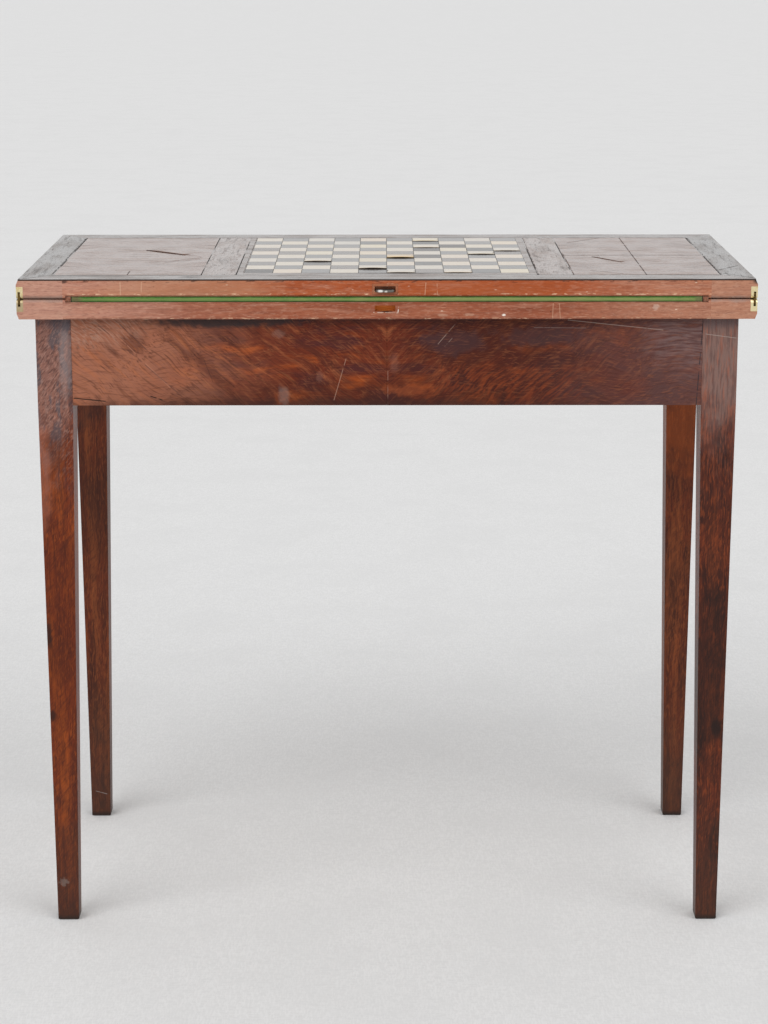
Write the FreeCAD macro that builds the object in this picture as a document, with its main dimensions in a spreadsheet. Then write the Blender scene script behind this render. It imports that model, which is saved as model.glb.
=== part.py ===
"""Folding games table: a two-leaf top with an inlaid board, swivelling on a frame of four tapered legs.

Millimetres. +Z is up, +X runs along the table, -Y is the side of the hinge edge. The origin is on the
floor under the middle of the closed top.
"""
import FreeCAD, Part
import os
import re
import Sketcher
from FreeCAD import Placement, Rotation, Vector

SIZES = [
    # the top as a whole
    ("top_long", 800.0, "length of the top"),
    ("top_deep", 400.0, "depth of one leaf"),
    ("leaf_thick", 21.2, "thickness of each leaf"),
    ("leaf_gap", 1.0, "air between the closed leaves, and between their edges when open"),
    ("slide_gap", 0.3, "play between the lower leaf and the frame"),
    # how a leaf is made
    ("clamp_wide", 50.0, "width of the clamp across each end"),
    ("key_long", 8.0, "tongue of the core board in the clamp's groove"),
    ("key_thick", 7.0, "thickness of that tongue"),
    ("key_stop", 15.0, "wood left beyond the ends of the groove"),
    ("key_spare", 0.5, "glue room at the bottom of the groove"),
    ("ease_in", 2.2, "worn-back arris at the leaf ends, measured along"),
    ("ease_down", 6.0, "the same arris, measured down"),
    # inlay of the upper face
    ("inlay_thick", 1.2, "thickness of the veneers and squares"),
    ("border_wide", 36.0, "border at the ends"),
    ("border_deep", 34.0, "border at the long sides"),
    ("string_wide", 1.2, "dark stringing lines"),
    ("strip_wide", 38.0, "cross-grained strip beside the board"),
    ("band_wide", 8.0, "narrow band between that strip and the board"),
    ("rear_band", 1.4, "line behind the board"),
    ("front_band", 16.4, "band before the board"),
    ("squares", 10, "squares along each side of the board"),
    ("square_joint", 0.3, "joint between neighbouring squares"),
    # baize and its fold
    ("baize_inset", 53.0, "plain wood at each end of the baize"),
    ("baize_border", 45.0, "plain wood along the free edge"),
    ("recess", 1.0, "depth of the baize recess"),
    ("baize_thick", 0.8, "baize"),
    ("cloth_clear", 0.3, "room round the cloth"),
    ("fold_radius", 4.0, "bulge of the baize roll in the fold"),
    ("fold_proud", 1.2, "the roll stands out of the hinge edge by this"),
    ("tape_wide", 6.5, "leather tape at each end of the roll"),
    ("tape_radius", 5.0, "bulge of the tape"),
    ("tape_proud", 1.4, "the tape stands out by this"),
    # double-pivot hinges
    ("pivot_drop", 4.0, "pin centres below the inner faces and inside the hinge edge"),
    ("plate_wide", 7.25, "thickness of a hinge plate along the table"),
    ("plate_long", 55.0, "length of a plate along the leaf end"),
    ("plate_high", 13.0, "height of a plate"),
    ("link_in", 3.0, "middle of the link inside the leaf end"),
    ("link_thick", 2.4, "link"),
    ("link_radius", 3.0, "rounded ends of the link"),
    ("pin_radius", 1.1, "hinge pin"),
    ("pin_inset", 0.2, "the pin ends lie below the plate sides"),
    ("run_clear", 0.06, "running clearance on a radius"),
    ("glue_clear", 0.02, "clearance on a radius of what is driven in"),
    ("turn_clear", 0.4, "room round a turning piece"),
    ("side_clear", 0.1, "play at each side of the link"),
    # screws
    ("head_radius", 2.9, "countersunk head"),
    ("head_high", 2.0, "countersink depth"),
    ("shank_radius", 1.5, "shank"),
    ("screw_long", 19.0, "whole screw"),
    ("nick_wide", 0.8, "screwdriver slot"),
    ("nick_deep", 0.6, "its depth"),
    ("screw_first", 20.0, "first hinge screw from the hinge edge"),
    ("screw_pitch", 22.0, "distance between the two hinge screws"),
    # aligning tongue
    ("align_off", -2.0, "tongue beside the middle of the hinge edge"),
    ("block_wide", 28.0, "hardwood block round the tongue"),
    ("block_high", 11.8, "its height"),
    ("block_deep", 24.0, "its depth"),
    ("align_rise", 9.5, "tongue centre above the middle of the gap"),
    ("align_wide", 21.0, "tongue width"),
    ("align_thick", 2.6, "tongue thickness"),
    ("align_in", 20.0, "tongue length inside the leaf"),
    ("align_out", 5.0, "tongue length outside the leaf"),
    ("align_round", 4.0, "rounded corners of the tongue"),
    ("slot_wide", 22.4, "widened mouth of the mortise"),
    ("slot_high", 5.7, "height of that mouth"),
    ("slot_deep", 4.0, "depth of that mouth"),
    ("mate_drop", 10.0, "middle of the lower leaf's mortise below the gap"),
    ("mate_high", 6.5, "its height"),
    ("mate_deep", 12.0, "its depth"),
    # frame
    ("frame_high", 698.3, "height of the frame"),
    ("over_end", 18.3, "overhang of the top at each end"),
    ("over_side", 11.0, "overhang along the long sides"),
    ("leg_wide", 38.3, "leg at the rails, along the table"),
    ("leg_deep", 40.0, "leg at the rails, across the table"),
    ("foot", 23.6, "leg at the floor"),
    ("lean", 4.0, "taper of the outer faces"),
    ("foot_ease", 1.5, "chamfer round the foot"),
    ("apron", 96.5, "height of the rails"),
    ("rail_thick", 20.0, "rail core"),
    ("veneer", 1.2, "rail veneer"),
    ("tenon_long", 22.0, "rail tenon"),
    ("tenon_thick", 8.0, "its thickness"),
    ("tenon_shoulder", 8.0, "shoulder above and below"),
    ("tenon_in", 7.0, "tenon face inside the leg's outer face"),
    ("peg_radius", 3.0, "tenon pegs"),
    ("peg_skin", 5.0, "wood left outside a peg"),
    ("peg_apart", 60.0, "pegs of a long rail, one above the other"),
    ("peg_close", 28.0, "pegs of a short rail"),
    ("bearer", 12.0, "strip under the well floor"),
    ("bearer_up", 1.0, "strip above the bottom of the rails"),
    ("floor_thick", 8.0, "well floor"),
    ("floor_clear", 0.3, "room round the well floor"),
    # swivel
    ("cross_wide", 90.0, "cross rail that carries the swivel"),
    ("cross_thick", 22.0, "its thickness"),
    ("cross_house", 8.0, "its ends in the long rails"),
    ("bolt_radius", 6.0, "swivel bolt"),
    ("swivel_plate", 60.0, "iron plate under the lower leaf"),
    ("swivel_thick", 3.0, "its thickness"),
    ("swivel_screws", 42.0, "pitch of its screws"),
    ("washer_radius", 15.0, "washer"),
    ("washer_thick", 3.0, "its thickness"),
    ("nut_across", 19.0, "nut across its flats"),
    ("nut_high", 9.0, "nut height"),
    ("bolt_end", 2.0, "bolt below the nut"),
    ("stop_radius", 6.0, "stop peg of the swivel"),
    ("stop_in", 10.0, "stop peg in the lower leaf"),
    ("stop_out", 14.0, "stop peg below the lower leaf"),
    ("past", 2.0, "how far a cutting shape passes the wood"),
]
SIDES = (("left", -1), ("right", 1))
ENDS = (("front", -1), ("rear", 1))
SAME_PLACE = 1e-6  # mm within which two points count as one

doc = FreeCAD.newDocument("games_table")
sheet = doc.addObject("Spreadsheet::Sheet", "Sizes")
for row, (alias, size, note) in enumerate(SIZES, start=1):
    sheet.set(f"A{row}", note)
    sheet.set(f"B{row}", str(size))
    sheet.setAlias(f"B{row}", alias)
doc.recompute()

# Levels and lines that several pieces share, as formulas of the sizes.
LOW_UNDER = "(frame_high + slide_gap)"
LOW_FACE = "(frame_high + slide_gap + leaf_thick)"
MID = "(frame_high + slide_gap + leaf_thick + leaf_gap / 2)"
UP_FACE = "(frame_high + slide_gap + leaf_thick + leaf_gap)"
TOP = "(frame_high + slide_gap + 2 * leaf_thick + leaf_gap)"
INLAY = f"({TOP} - inlay_thick)"
EDGE = "(0 - top_deep / 2)"
PIN_Y = "(pivot_drop - top_deep / 2)"
LOW_PIN = f"({LOW_FACE} - pivot_drop)"
UP_PIN = f"({UP_FACE} + pivot_drop)"
CORE_X = "(top_long / 2 - clamp_wide)"
CLOTH_X = "(top_long / 2 - baize_inset)"
CLOTH_Y = "(top_deep / 2 - baize_border)"
LEG_X = "(top_long / 2 - over_end)"
LEG_Y = "(top_deep / 2 - over_side)"
LEG_IN_X = f"({LEG_X} - leg_wide)"
LEG_IN_Y = f"({LEG_Y} - leg_deep)"
RAIL_X = f"({LEG_X} - veneer - rail_thick)"
RAIL_Y = f"({LEG_Y} - veneer - rail_thick)"
APRON_LOW = "(frame_high - apron)"
TENON_Z = (f"{APRON_LOW} + tenon_shoulder", "frame_high - tenon_shoulder")
FLOOR_LOW = f"({APRON_LOW} + bearer_up + bearer)"
TURN = "(0 - top_deep / 4)"
STOP = f"({RAIL_Y} - stop_radius - slide_gap)"
SLOT_X = ("align_off - slot_wide / 2", "align_off + slot_wide / 2")
BLOCK_X = ("align_off - block_wide / 2", "align_off + block_wide / 2")
BLOCK_Z = (
    f"{MID} + align_rise - align_thick / 2 - (block_high - slot_high) / 2",
    f"{MID} + align_rise - align_thick / 2 + (block_high + slot_high) / 2",
)
TONGUE_X = ("align_off - align_wide / 2", "align_off + align_wide / 2")
TONGUE_Z = (f"({MID} + align_rise - align_thick / 2)", f"({MID} + align_rise + align_thick / 2)")
FIELD_X = "(top_long / 2 - border_wide)"
FIELD_Y = "(top_deep / 2 - border_deep)"
LINE = "(string_wide / 2)"
BOARD_REAR = f"({FIELD_Y} - {LINE} - rear_band)"
BOARD_FRONT = f"({LINE} + front_band - {FIELD_Y})"
BOARD_X = f"(({BOARD_REAR} - {BOARD_FRONT}) / 2)"
PITCH = f"(2 * {BOARD_X} / squares)"
BAND_X = f"({BOARD_X} + band_wide)"
STRIP_X = f"({BAND_X} + strip_wide)"


def formula(text):
    """Turns plain size names into references to the sheet."""
    return re.sub(r"[a-z]+(?:_[a-z]+)*(?![a-z_(])", lambda word: "Sizes." + word.group(), text)


def value(text):
    """Works a formula out as a number."""
    return float(sheet.evalExpression(formula(text)))


def bind(thing, **formulas):
    """Binds properties of an object to formulas; place_x means Placement.Base.x."""
    for name, text in formulas.items():
        target = name.replace("place_", "Placement.Base.")
        thing.setExpression(target, formula(text))


def box(name, x, y, z):
    """A box between two formulas along each axis."""
    thing = doc.addObject("Part::Box", name)
    bind(thing, place_x=x[0], place_y=y[0], place_z=z[0])
    bind(thing, Length=f"({x[1]}) - ({x[0]})", Width=f"({y[1]}) - ({y[0]})", Height=f"({z[1]}) - ({z[0]})")
    return thing


def turned(thing, axis, at):
    """Lays a round primitive along an axis, from its start point."""
    thing.Placement = Placement(Vector(0, 0, 0), Rotation(Vector(0, 0, 1), Vector(*axis)))
    bind(thing, place_x=at[0], place_y=at[1], place_z=at[2])
    return thing


def rod(name, axis, at, radius, length):
    """A cylinder along an axis."""
    thing = doc.addObject("Part::Cylinder", name)
    bind(thing, Radius=radius, Height=length)
    return turned(thing, axis, at)


def group(name, things):
    """Separate solids under one name."""
    thing = doc.addObject("Part::Compound", name)
    thing.Links = things
    return thing


def fuse(name, things):
    """One solid of several."""
    thing = doc.addObject("Part::MultiFuse", name)
    thing.Shapes = things
    return thing


def cut(name, base, tools):
    """The base without the tools."""
    thing = doc.addObject("Part::Cut", name)
    thing.Base = base
    thing.Tool = tools[0] if len(tools) == 1 else group(f"{name}_tools", tools)
    return thing


def outline(body, name, role, points, offset):
    """A closed sketch with straight sides on one of a body's own planes, each corner bound to formulas."""
    sketch = body.newObject("Sketcher::SketchObject", name)
    plane = next(item for item in body.Origin.OriginFeatures if item.Role == role)
    sketch.AttachmentSupport = [(plane, "")]
    sketch.MapMode = "FlatFace"
    sketch.setExpression("AttachmentOffset.Base.z", formula(offset))
    corners = [Vector(value(first), value(second), 0) for first, second in points]
    count = len(corners)
    for index in range(count):
        sketch.addGeometry(Part.LineSegment(corners[index], corners[(index + 1) % count]), False)
    for index in range(count):
        sketch.addConstraint(Sketcher.Constraint("Coincident", index, 2, (index + 1) % count, 1))
    for index, (first, second) in enumerate(points):
        for kind, text in (("DistanceX", first), ("DistanceY", second)):
            number = sketch.addConstraint(Sketcher.Constraint(kind, index, 1, value(text)))
            sketch.setExpression(f"Constraints[{number}]", formula(text))
    return sketch


def pad(body, name, sketch, length, backwards=False):
    """A pad of a sketch."""
    thing = body.newObject("PartDesign::Pad", name)
    thing.Profile = sketch
    thing.Reversed = backwards
    bind(thing, Length=length)
    sketch.Visibility = False
    body.Tip = thing
    return thing


def new_body(name):
    """An empty PartDesign body."""
    return doc.addObject("PartDesign::Body", name)


def sheet_piece(name, points, low, thick):
    """A flat piece with a straight-sided plan."""
    body = new_body(name)
    pad(body, f"{name}_pad", outline(body, f"{name}_plan", "XY_Plane", points, low), thick)
    return body


def edges_where(shape, test):
    """Names of the edges whose two ends both pass a test."""
    found = []
    for number, edge in enumerate(shape.Edges, start=1):
        if all(test(vertex.Point) for vertex in edge.Vertexes):
            found.append(f"Edge{number}")
    return found


def screw(name, axis, at, ease):
    """A countersunk, slotted screw that points along an axis."""
    across = ("0 - head_radius - past", "head_radius + past")
    narrow = ("0 - nick_wide / 2", "nick_wide / 2")
    if axis[2]:
        spans = (across, narrow, ("0 - past", "nick_deep"))
    else:
        spans = (side_of(axis[0], "0 - past", "nick_deep"), across, narrow)
    room = [(f"{start} + {low}", f"{start} + {high}") for start, (low, high) in zip(at, spans)]
    nick = box(f"{name}_nick", *room)
    return cut(f"{name}_slotted", screw_room(f"{name}_whole", axis, at, ease), [nick])


def screw_room(name, axis, at, ease):
    """The whole of a screw, or with ease the hole that it is driven into."""
    head = doc.addObject("Part::Cone", f"{name}_head")
    bind(head, Radius1=f"head_radius + {ease}", Radius2=f"shank_radius + {ease}", Height="head_high")
    turned(head, axis, at)
    shank = rod(f"{name}_shank", axis, at, f"shank_radius + {ease}", "screw_long")
    return fuse(name, [head, shank])


def side_of(sign, near, far):
    """A span on the positive (+1) or the negative (-1) side, from formulas for the positive one."""
    return (near, far) if sign > 0 else (f"0 - ({far})", f"0 - ({near})")


# ---------------------------------------------------------------- frame

def leg(name, along, across):
    """A square leg: a block between the rails, then a taper that is mostly on the inner faces."""
    body = new_body(f"{name}_body")

    def corners(wide, deep, inset):
        near_x, far_x = f"{along} * ({LEG_X} - {inset} - {wide})", f"{along} * ({LEG_X} - {inset})"
        near_y, far_y = f"{across} * ({LEG_Y} - {inset} - {deep})", f"{across} * ({LEG_Y} - {inset})"
        return [(near_x, near_y), (far_x, near_y), (far_x, far_y), (near_x, far_y)]

    upper = outline(body, f"{name}_upper", "XY_Plane", corners("leg_wide", "leg_deep", "0"), APRON_LOW)
    pad(body, f"{name}_head", upper, "apron")
    lower = outline(body, f"{name}_lower", "XY_Plane", corners("foot", "foot", "lean"), "0")
    taper = body.newObject("PartDesign::AdditiveLoft", f"{name}_taper")
    taper.Profile = upper
    taper.Sections = [lower]
    taper.Ruled = True
    doc.recompute()
    ease = body.newObject("PartDesign::Chamfer", f"{name}_ease")
    ease.Base = (taper, edges_where(taper.Shape, lambda point: abs(point.z) < SAME_PLACE))
    bind(ease, Size="foot_ease")
    body.Tip = ease
    joint = [long_tenon(name, along, across, "key_spare"), short_tenon(name, along, across, "key_spare")]
    joint += long_pegs(name, along, across, "glue_clear") + short_pegs(name, along, across, "glue_clear")
    return cut(name, body, joint)


def long_tenon(name, along, across, spare):
    """The tenon of a long rail in one leg; spare is added at its ends."""
    return box(
        f"{name}_long_tenon",
        side_of(along, f"{LEG_IN_X} - {spare}", f"{LEG_IN_X} + tenon_long + {spare}"),
        side_of(across, f"{LEG_Y} - tenon_in - tenon_thick", f"{LEG_Y} - tenon_in"),
        TENON_Z,
    )


def short_tenon(name, along, across, spare):
    """The tenon of a short rail in one leg; spare is added at its ends."""
    return box(
        f"{name}_short_tenon",
        side_of(along, f"{LEG_X} - tenon_in - tenon_thick", f"{LEG_X} - tenon_in"),
        side_of(across, f"{LEG_IN_Y} - {spare}", f"{LEG_IN_Y} + tenon_long + {spare}"),
        TENON_Z,
    )


def long_pegs(name, along, across, ease):
    """Two pegs through the tenon of a long rail, driven from the inside of the leg."""
    radius = f"peg_radius + {ease}"
    made = []
    for up in (-1, 1):
        height = f"frame_high - apron / 2 + {up} * peg_apart / 2"
        start = (f"{along} * ({LEG_IN_X} + tenon_long / 2)", f"{across} * {LEG_IN_Y}", height)
        made.append(rod(f"{name}_long_peg", (0, across, 0), start, radius, "leg_deep - peg_skin"))
    return made


def short_pegs(name, along, across, ease):
    """Two pegs through the tenon of a short rail, driven from the inside of the leg."""
    radius = f"peg_radius + {ease}"
    made = []
    for up in (-1, 1):
        height = f"frame_high - apron / 2 + {up} * peg_close / 2"
        start = (f"{along} * {LEG_IN_X}", f"{across} * ({LEG_IN_Y} + tenon_long / 2)", height)
        made.append(rod(f"{name}_short_peg", (along, 0, 0), start, radius, "leg_wide - peg_skin"))
    return made


def long_rail(name, across):
    """A rail along the table with its two tenons and the housing for the cross rail."""
    span_y = side_of(across, RAIL_Y, f"{RAIL_Y} + rail_thick")
    wood = [box(f"{name}_board", (f"0 - {LEG_IN_X}", LEG_IN_X), span_y, (APRON_LOW, "frame_high"))]
    holes = [cross_rail_blank(f"{name}_housing")]
    for side, along in SIDES:
        wood.append(long_tenon(f"{name}_{side}", along, across, "0"))
        holes += long_pegs(f"{name}_{side}_hole", along, across, "glue_clear")
    return cut(name, fuse(f"{name}_whole", wood), holes)


def short_rail(name, along):
    """A rail across the table with its two tenons."""
    span_x = side_of(along, RAIL_X, f"{RAIL_X} + rail_thick")
    wood = [box(f"{name}_board", span_x, (f"0 - {LEG_IN_Y}", LEG_IN_Y), (APRON_LOW, "frame_high"))]
    holes = []
    for end, across in ENDS:
        wood.append(short_tenon(f"{name}_{end}", along, across, "0"))
        holes += short_pegs(f"{name}_{end}_hole", along, across, "glue_clear")
    return cut(name, fuse(f"{name}_whole", wood), holes)


def cross_rail_blank(name):
    """The cross rail before it is bored, ends housed in the long rails."""
    reach = f"({RAIL_Y} + cross_house)"
    return box(
        name,
        (f"{TURN} - cross_wide / 2", f"{TURN} + cross_wide / 2"),
        (f"0 - {reach}", reach),
        ("frame_high - cross_thick", "frame_high"),
    )


def cross_rail():
    """The cross rail with the swivel bore."""
    at = (TURN, TURN, "frame_high - cross_thick - past")
    bore = rod("cross_bore", (0, 0, 1), at, "bolt_radius + run_clear", "cross_thick + 2 * past")
    return cut("cross_rail", cross_rail_blank("cross_rail_board"), [bore])


def rail_veneers():
    """Veneers of the rails; the front one is two book-matched sheets."""
    high = (APRON_LOW, "frame_high")
    front = side_of(-1, f"{LEG_Y} - veneer", LEG_Y)
    rear = side_of(1, f"{LEG_Y} - veneer", LEG_Y)
    made = [box("veneer_rear", (f"0 - {LEG_IN_X}", LEG_IN_X), rear, high)]
    for side, along in SIDES:
        end = side_of(along, f"{LEG_X} - veneer", LEG_X)
        made.append(box(f"veneer_front_{side}", side_of(along, "0", LEG_IN_X), front, high))
        made.append(box(f"veneer_{side}", end, (f"0 - {LEG_IN_Y}", LEG_IN_Y), high))
    return made


def well_floor():
    """The floor of the hollow in the frame, notched round the legs."""
    long_half, deep_half = f"({RAIL_X} - floor_clear)", f"({RAIL_Y} - floor_clear)"
    high = (FLOOR_LOW, f"{FLOOR_LOW} + floor_thick")
    board = box("well_floor_board", (f"0 - {long_half}", long_half), (f"0 - {deep_half}", deep_half), high)
    notches = []
    for end, across in ENDS:
        for side, along in SIDES:
            span_x = side_of(along, f"{LEG_IN_X} - floor_clear", LEG_X)
            span_y = side_of(across, f"{LEG_IN_Y} - floor_clear", LEG_Y)
            notches.append(box(f"well_notch_{end}_{side}", span_x, span_y, high))
    return cut("well_floor", board, notches)


def floor_bearers():
    """Strips glued round the inside of the rails, under the well floor."""
    high = (f"{APRON_LOW} + bearer_up", FLOOR_LOW)
    span_x = (f"floor_clear - {LEG_IN_X}", f"{LEG_IN_X} - floor_clear")
    span_y = (f"floor_clear - {LEG_IN_Y}", f"{LEG_IN_Y} - floor_clear")
    made = []
    for sign in (-1, 1):
        made.append(box("long_bearer", span_x, side_of(sign, f"{RAIL_Y} - bearer", RAIL_Y), high))
        made.append(box("short_bearer", side_of(sign, f"{RAIL_X} - bearer", RAIL_X), span_y, high))
    return group("floor_bearers", made)


def frame():
    """Everything that stands still."""
    made = []
    pegs = []
    for end, across in ENDS:
        for side, along in SIDES:
            made.append(leg(f"leg_{end}_{side}", along, across))
            pegs += long_pegs(f"peg_{end}_{side}", along, across, "0")
            pegs += short_pegs(f"peg_{end}_{side}", along, across, "0")
        made.append(long_rail(f"rail_{end}", across))
    for side, along in SIDES:
        made.append(short_rail(f"rail_{side}", along))
    made += rail_veneers()
    made += [cross_rail(), well_floor(), floor_bearers(), group("tenon_pegs", pegs)]
    return made


# ---------------------------------------------------------------- leaves

def arris_cutter(name, pin_z, face, up):
    """What rounds the hinge-side inner arris about the pin line, over the whole length of a leaf."""
    span_x = ("0 - top_long / 2 - past", "top_long / 2 + past")
    high = (pin_z, f"{face} + past") if up else (f"{face} - past", pin_z)
    corner = box(f"{name}_corner", span_x, (f"{EDGE} - past", PIN_Y), high)
    start = (f"{span_x[0]} - past", PIN_Y, pin_z)
    round_bar = rod(f"{name}_bar", (1, 0, 0), start, "pivot_drop", "top_long + 4 * past")
    return cut(name, corner, [round_bar])


def recess_cutter(name, pin_z, face, up):
    """The baize recess: shallow over the face, round at the hinge edge, where it runs out."""
    floor = f"({face} - recess)" if up else f"({face} + recess)"
    span_x = (f"0 - {CLOTH_X}", CLOTH_X)
    flat_high = (floor, f"{face} + past") if up else (f"{face} - past", floor)
    edge_high = (pin_z, f"{face} + past") if up else (f"{face} - past", pin_z)
    flat = box(f"{name}_flat", span_x, (PIN_Y, CLOTH_Y), flat_high)
    edge = box(f"{name}_edge", span_x, (f"{EDGE} - past", PIN_Y), edge_high)
    start = (f"0 - {CLOTH_X} - past", PIN_Y, pin_z)
    round_bar = rod(f"{name}_bar", (1, 0, 0), start, "pivot_drop - recess", f"2 * {CLOTH_X} + 2 * past")
    return cut(name, fuse(f"{name}_both", [flat, edge]), [round_bar])


def core_blank(name, low, high):
    """A core board with the stopped tongues at its ends."""
    span_y = (EDGE, "top_deep / 2")
    board = box(f"{name}_board", (f"0 - {CORE_X}", CORE_X), span_y, (low, high))
    keys = [leaf_key(f"{name}_{side}", along, low, "0") for side, along in SIDES]
    return fuse(f"{name}_blank", [board] + keys)


def leaf_key(name, along, low, spare):
    """The tongue of a core board in its clamp, in the middle of the leaf's thickness."""
    middle = f"{low} + leaf_thick / 2"
    return box(
        f"{name}_key",
        side_of(along, f"{CORE_X} - {spare}", f"{CORE_X} + key_long + {spare}"),
        (f"{EDGE} + key_stop", "top_deep / 2 - key_stop"),
        (f"{middle} - key_thick / 2", f"{middle} + key_thick / 2"),
    )


def clamp(name, along, low, high, worn_top, tools):
    """A clamp across the end of a leaf, its outer arris worn back on one face."""
    inner, outer = f"{along} * {CORE_X}", f"{along} * (top_long / 2)"
    worn = f"{along} * (top_long / 2 - ease_in)"
    if worn_top:
        end = [(outer, low), (outer, f"{TOP} - ease_down"), (worn, high)]
    else:
        end = [(worn, low), (outer, f"{low} + ease_down"), (outer, high)]
    body = new_body(f"{name}_body")
    points = [(inner, low)] + end + [(inner, high)]
    section = outline(body, f"{name}_section", "XZ_Plane", points, "top_deep / 2")
    pad(body, f"{name}_pad", section, "top_deep", backwards=True)
    return cut(name, body, tools)


def hinge_box(name, along, low, high):
    """The room of one hinge plate at the corner of a leaf."""
    span_x = side_of(along, "top_long / 2 - plate_wide", "top_long / 2")
    return box(name, span_x, (EDGE, f"{EDGE} + plate_long"), (low, high))


def hinge_screws(name, along, middle, make, ease):
    """The two screws of one hinge plate, or their holes, driven from the leaf end."""
    made = []
    for number in (0, 1):
        at = (f"{along} * (top_long / 2)", f"{EDGE} + screw_first + {number} * screw_pitch", middle)
        made.append(make(f"{name}_{number}", (-along, 0, 0), at, ease))
    return made


def pin(name, along, pin_z, ease):
    """A hinge pin along the table."""
    near = "top_long / 2 - plate_wide + pin_inset"
    start = (near if along > 0 else "pin_inset - top_long / 2", PIN_Y, pin_z)
    return rod(name, (1, 0, 0), start, f"pin_radius + {ease}", "plate_wide - 2 * pin_inset")


def hinge_plate(name, along, up):
    """A hinge plate: round at the inner arris, slotted for the link, bored for pin and screws."""
    if up:
        low, high, pin_z = UP_FACE, f"{UP_FACE} + plate_high", UP_PIN
        slot_z = (f"{UP_FACE} - past", f"{UP_PIN} + link_radius + turn_clear")
        round_off = arris_cutter(f"{name}_arris", UP_PIN, UP_FACE, False)
    else:
        low, high, pin_z = f"{LOW_FACE} - plate_high", LOW_FACE, LOW_PIN
        slot_z = (f"{LOW_PIN} - link_radius - turn_clear", f"{LOW_FACE} + past")
        round_off = arris_cutter(f"{name}_arris", LOW_PIN, LOW_FACE, True)
    half = "(link_thick / 2 + side_clear)"
    slot_x = side_of(along, f"top_long / 2 - link_in - {half}", f"top_long / 2 - link_in + {half}")
    slot = box(f"{name}_slot", slot_x, (f"{EDGE} - past", f"{PIN_Y} + link_radius + turn_clear"), slot_z)
    middle = f"({low} + plate_high / 2)"
    tools = [round_off, slot, pin(f"{name}_pin_hole", along, pin_z, "glue_clear")]
    tools += hinge_screws(f"{name}_hole", along, middle, screw_room, "glue_clear")
    return cut(name, hinge_box(f"{name}_bar", along, low, high), tools)


def link(name, along):
    """A flat link with round ends between the two pins of a hinge."""
    middle = "top_long / 2 - link_in"
    span_x = side_of(along, f"{middle} - link_thick / 2", f"{middle} + link_thick / 2")
    span_y = (f"{PIN_Y} - link_radius", f"{PIN_Y} + link_radius")
    metal = [box(f"{name}_waist", span_x, span_y, (LOW_PIN, UP_PIN))]
    bores = []
    for level in (LOW_PIN, UP_PIN):
        metal.append(rod(f"{name}_end", (1, 0, 0), (span_x[0], PIN_Y, level), "link_radius", "link_thick"))
        bores.append(pin(f"{name}_bore", along, level, "run_clear"))
    return cut(name, fuse(f"{name}_plate", metal), bores)


def leaf_metal(prefix, up):
    """Hinge plates, screws and pins of one leaf."""
    middle = f"({UP_FACE} + plate_high / 2)" if up else f"({LOW_FACE} - plate_high / 2)"
    made = [hinge_plate(f"{prefix}_hinge_{side}", along, up) for side, along in SIDES]
    screws = []
    pins = []
    for side, along in SIDES:
        screws += hinge_screws(f"{prefix}_screw_{side}", along, middle, screw, "0")
        pins.append(pin(f"{prefix}_pin_{side}", along, UP_PIN if up else LOW_PIN, "0"))
    return made + [group(f"{prefix}_hinge_screws", screws), group(f"{prefix}_hinge_pins", pins)]


def leaf_clamps(prefix, up):
    """The two end clamps of a leaf, with the seats of the hinge plates."""
    made = []
    for side, along in SIDES:
        name = f"{prefix}_clamp_{side}"
        if up:
            low, high, plate = UP_FACE, INLAY, (UP_FACE, f"{UP_FACE} + plate_high")
            arris = arris_cutter(f"{name}_arris", UP_PIN, UP_FACE, False)
        else:
            low, high, plate = LOW_UNDER, LOW_FACE, (f"{LOW_FACE} - plate_high", LOW_FACE)
            arris = arris_cutter(f"{name}_arris", LOW_PIN, LOW_FACE, True)
        middle = f"({plate[0]} + plate_high / 2)"
        tools = [arris, hinge_box(f"{name}_seat", along, *plate)]
        tools.append(leaf_key(f"{name}_groove", along, low, "key_spare"))
        tools += hinge_screws(f"{name}_hole", along, middle, screw_room, "glue_clear")
        made.append(clamp(name, along, low, high, up, tools))
    return made


def baize(prefix, up):
    """The baize of one leaf, flat in its recess up to the line of the pins."""
    low = f"{UP_FACE} + recess - baize_thick" if up else f"{LOW_FACE} - recess"
    return box(
        f"{prefix}_baize",
        (f"cloth_clear - {CLOTH_X}", f"{CLOTH_X} - cloth_clear"),
        (PIN_Y, f"{CLOTH_Y} - cloth_clear"),
        (low, f"{low} + baize_thick"),
    )


def swivel_screws(name, make, ease):
    """The four screws that hold the swivel plate to the lower leaf, or their holes."""
    made = []
    for along in (-1, 1):
        for across in (-1, 1):
            at_x, at_y = (f"{TURN} + {sign} * swivel_screws / 2" for sign in (along, across))
            made.append(make(f"{name}_{len(made)}", (0, 0, 1), (at_x, at_y, LOW_UNDER), ease))
    return made


def swivel_square(name):
    """The room of the swivel plate in the underside of the lower leaf."""
    span = (f"{TURN} - swivel_plate / 2", f"{TURN} + swivel_plate / 2")
    return box(name, span, span, (LOW_UNDER, f"{LOW_UNDER} + swivel_thick"))


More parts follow.
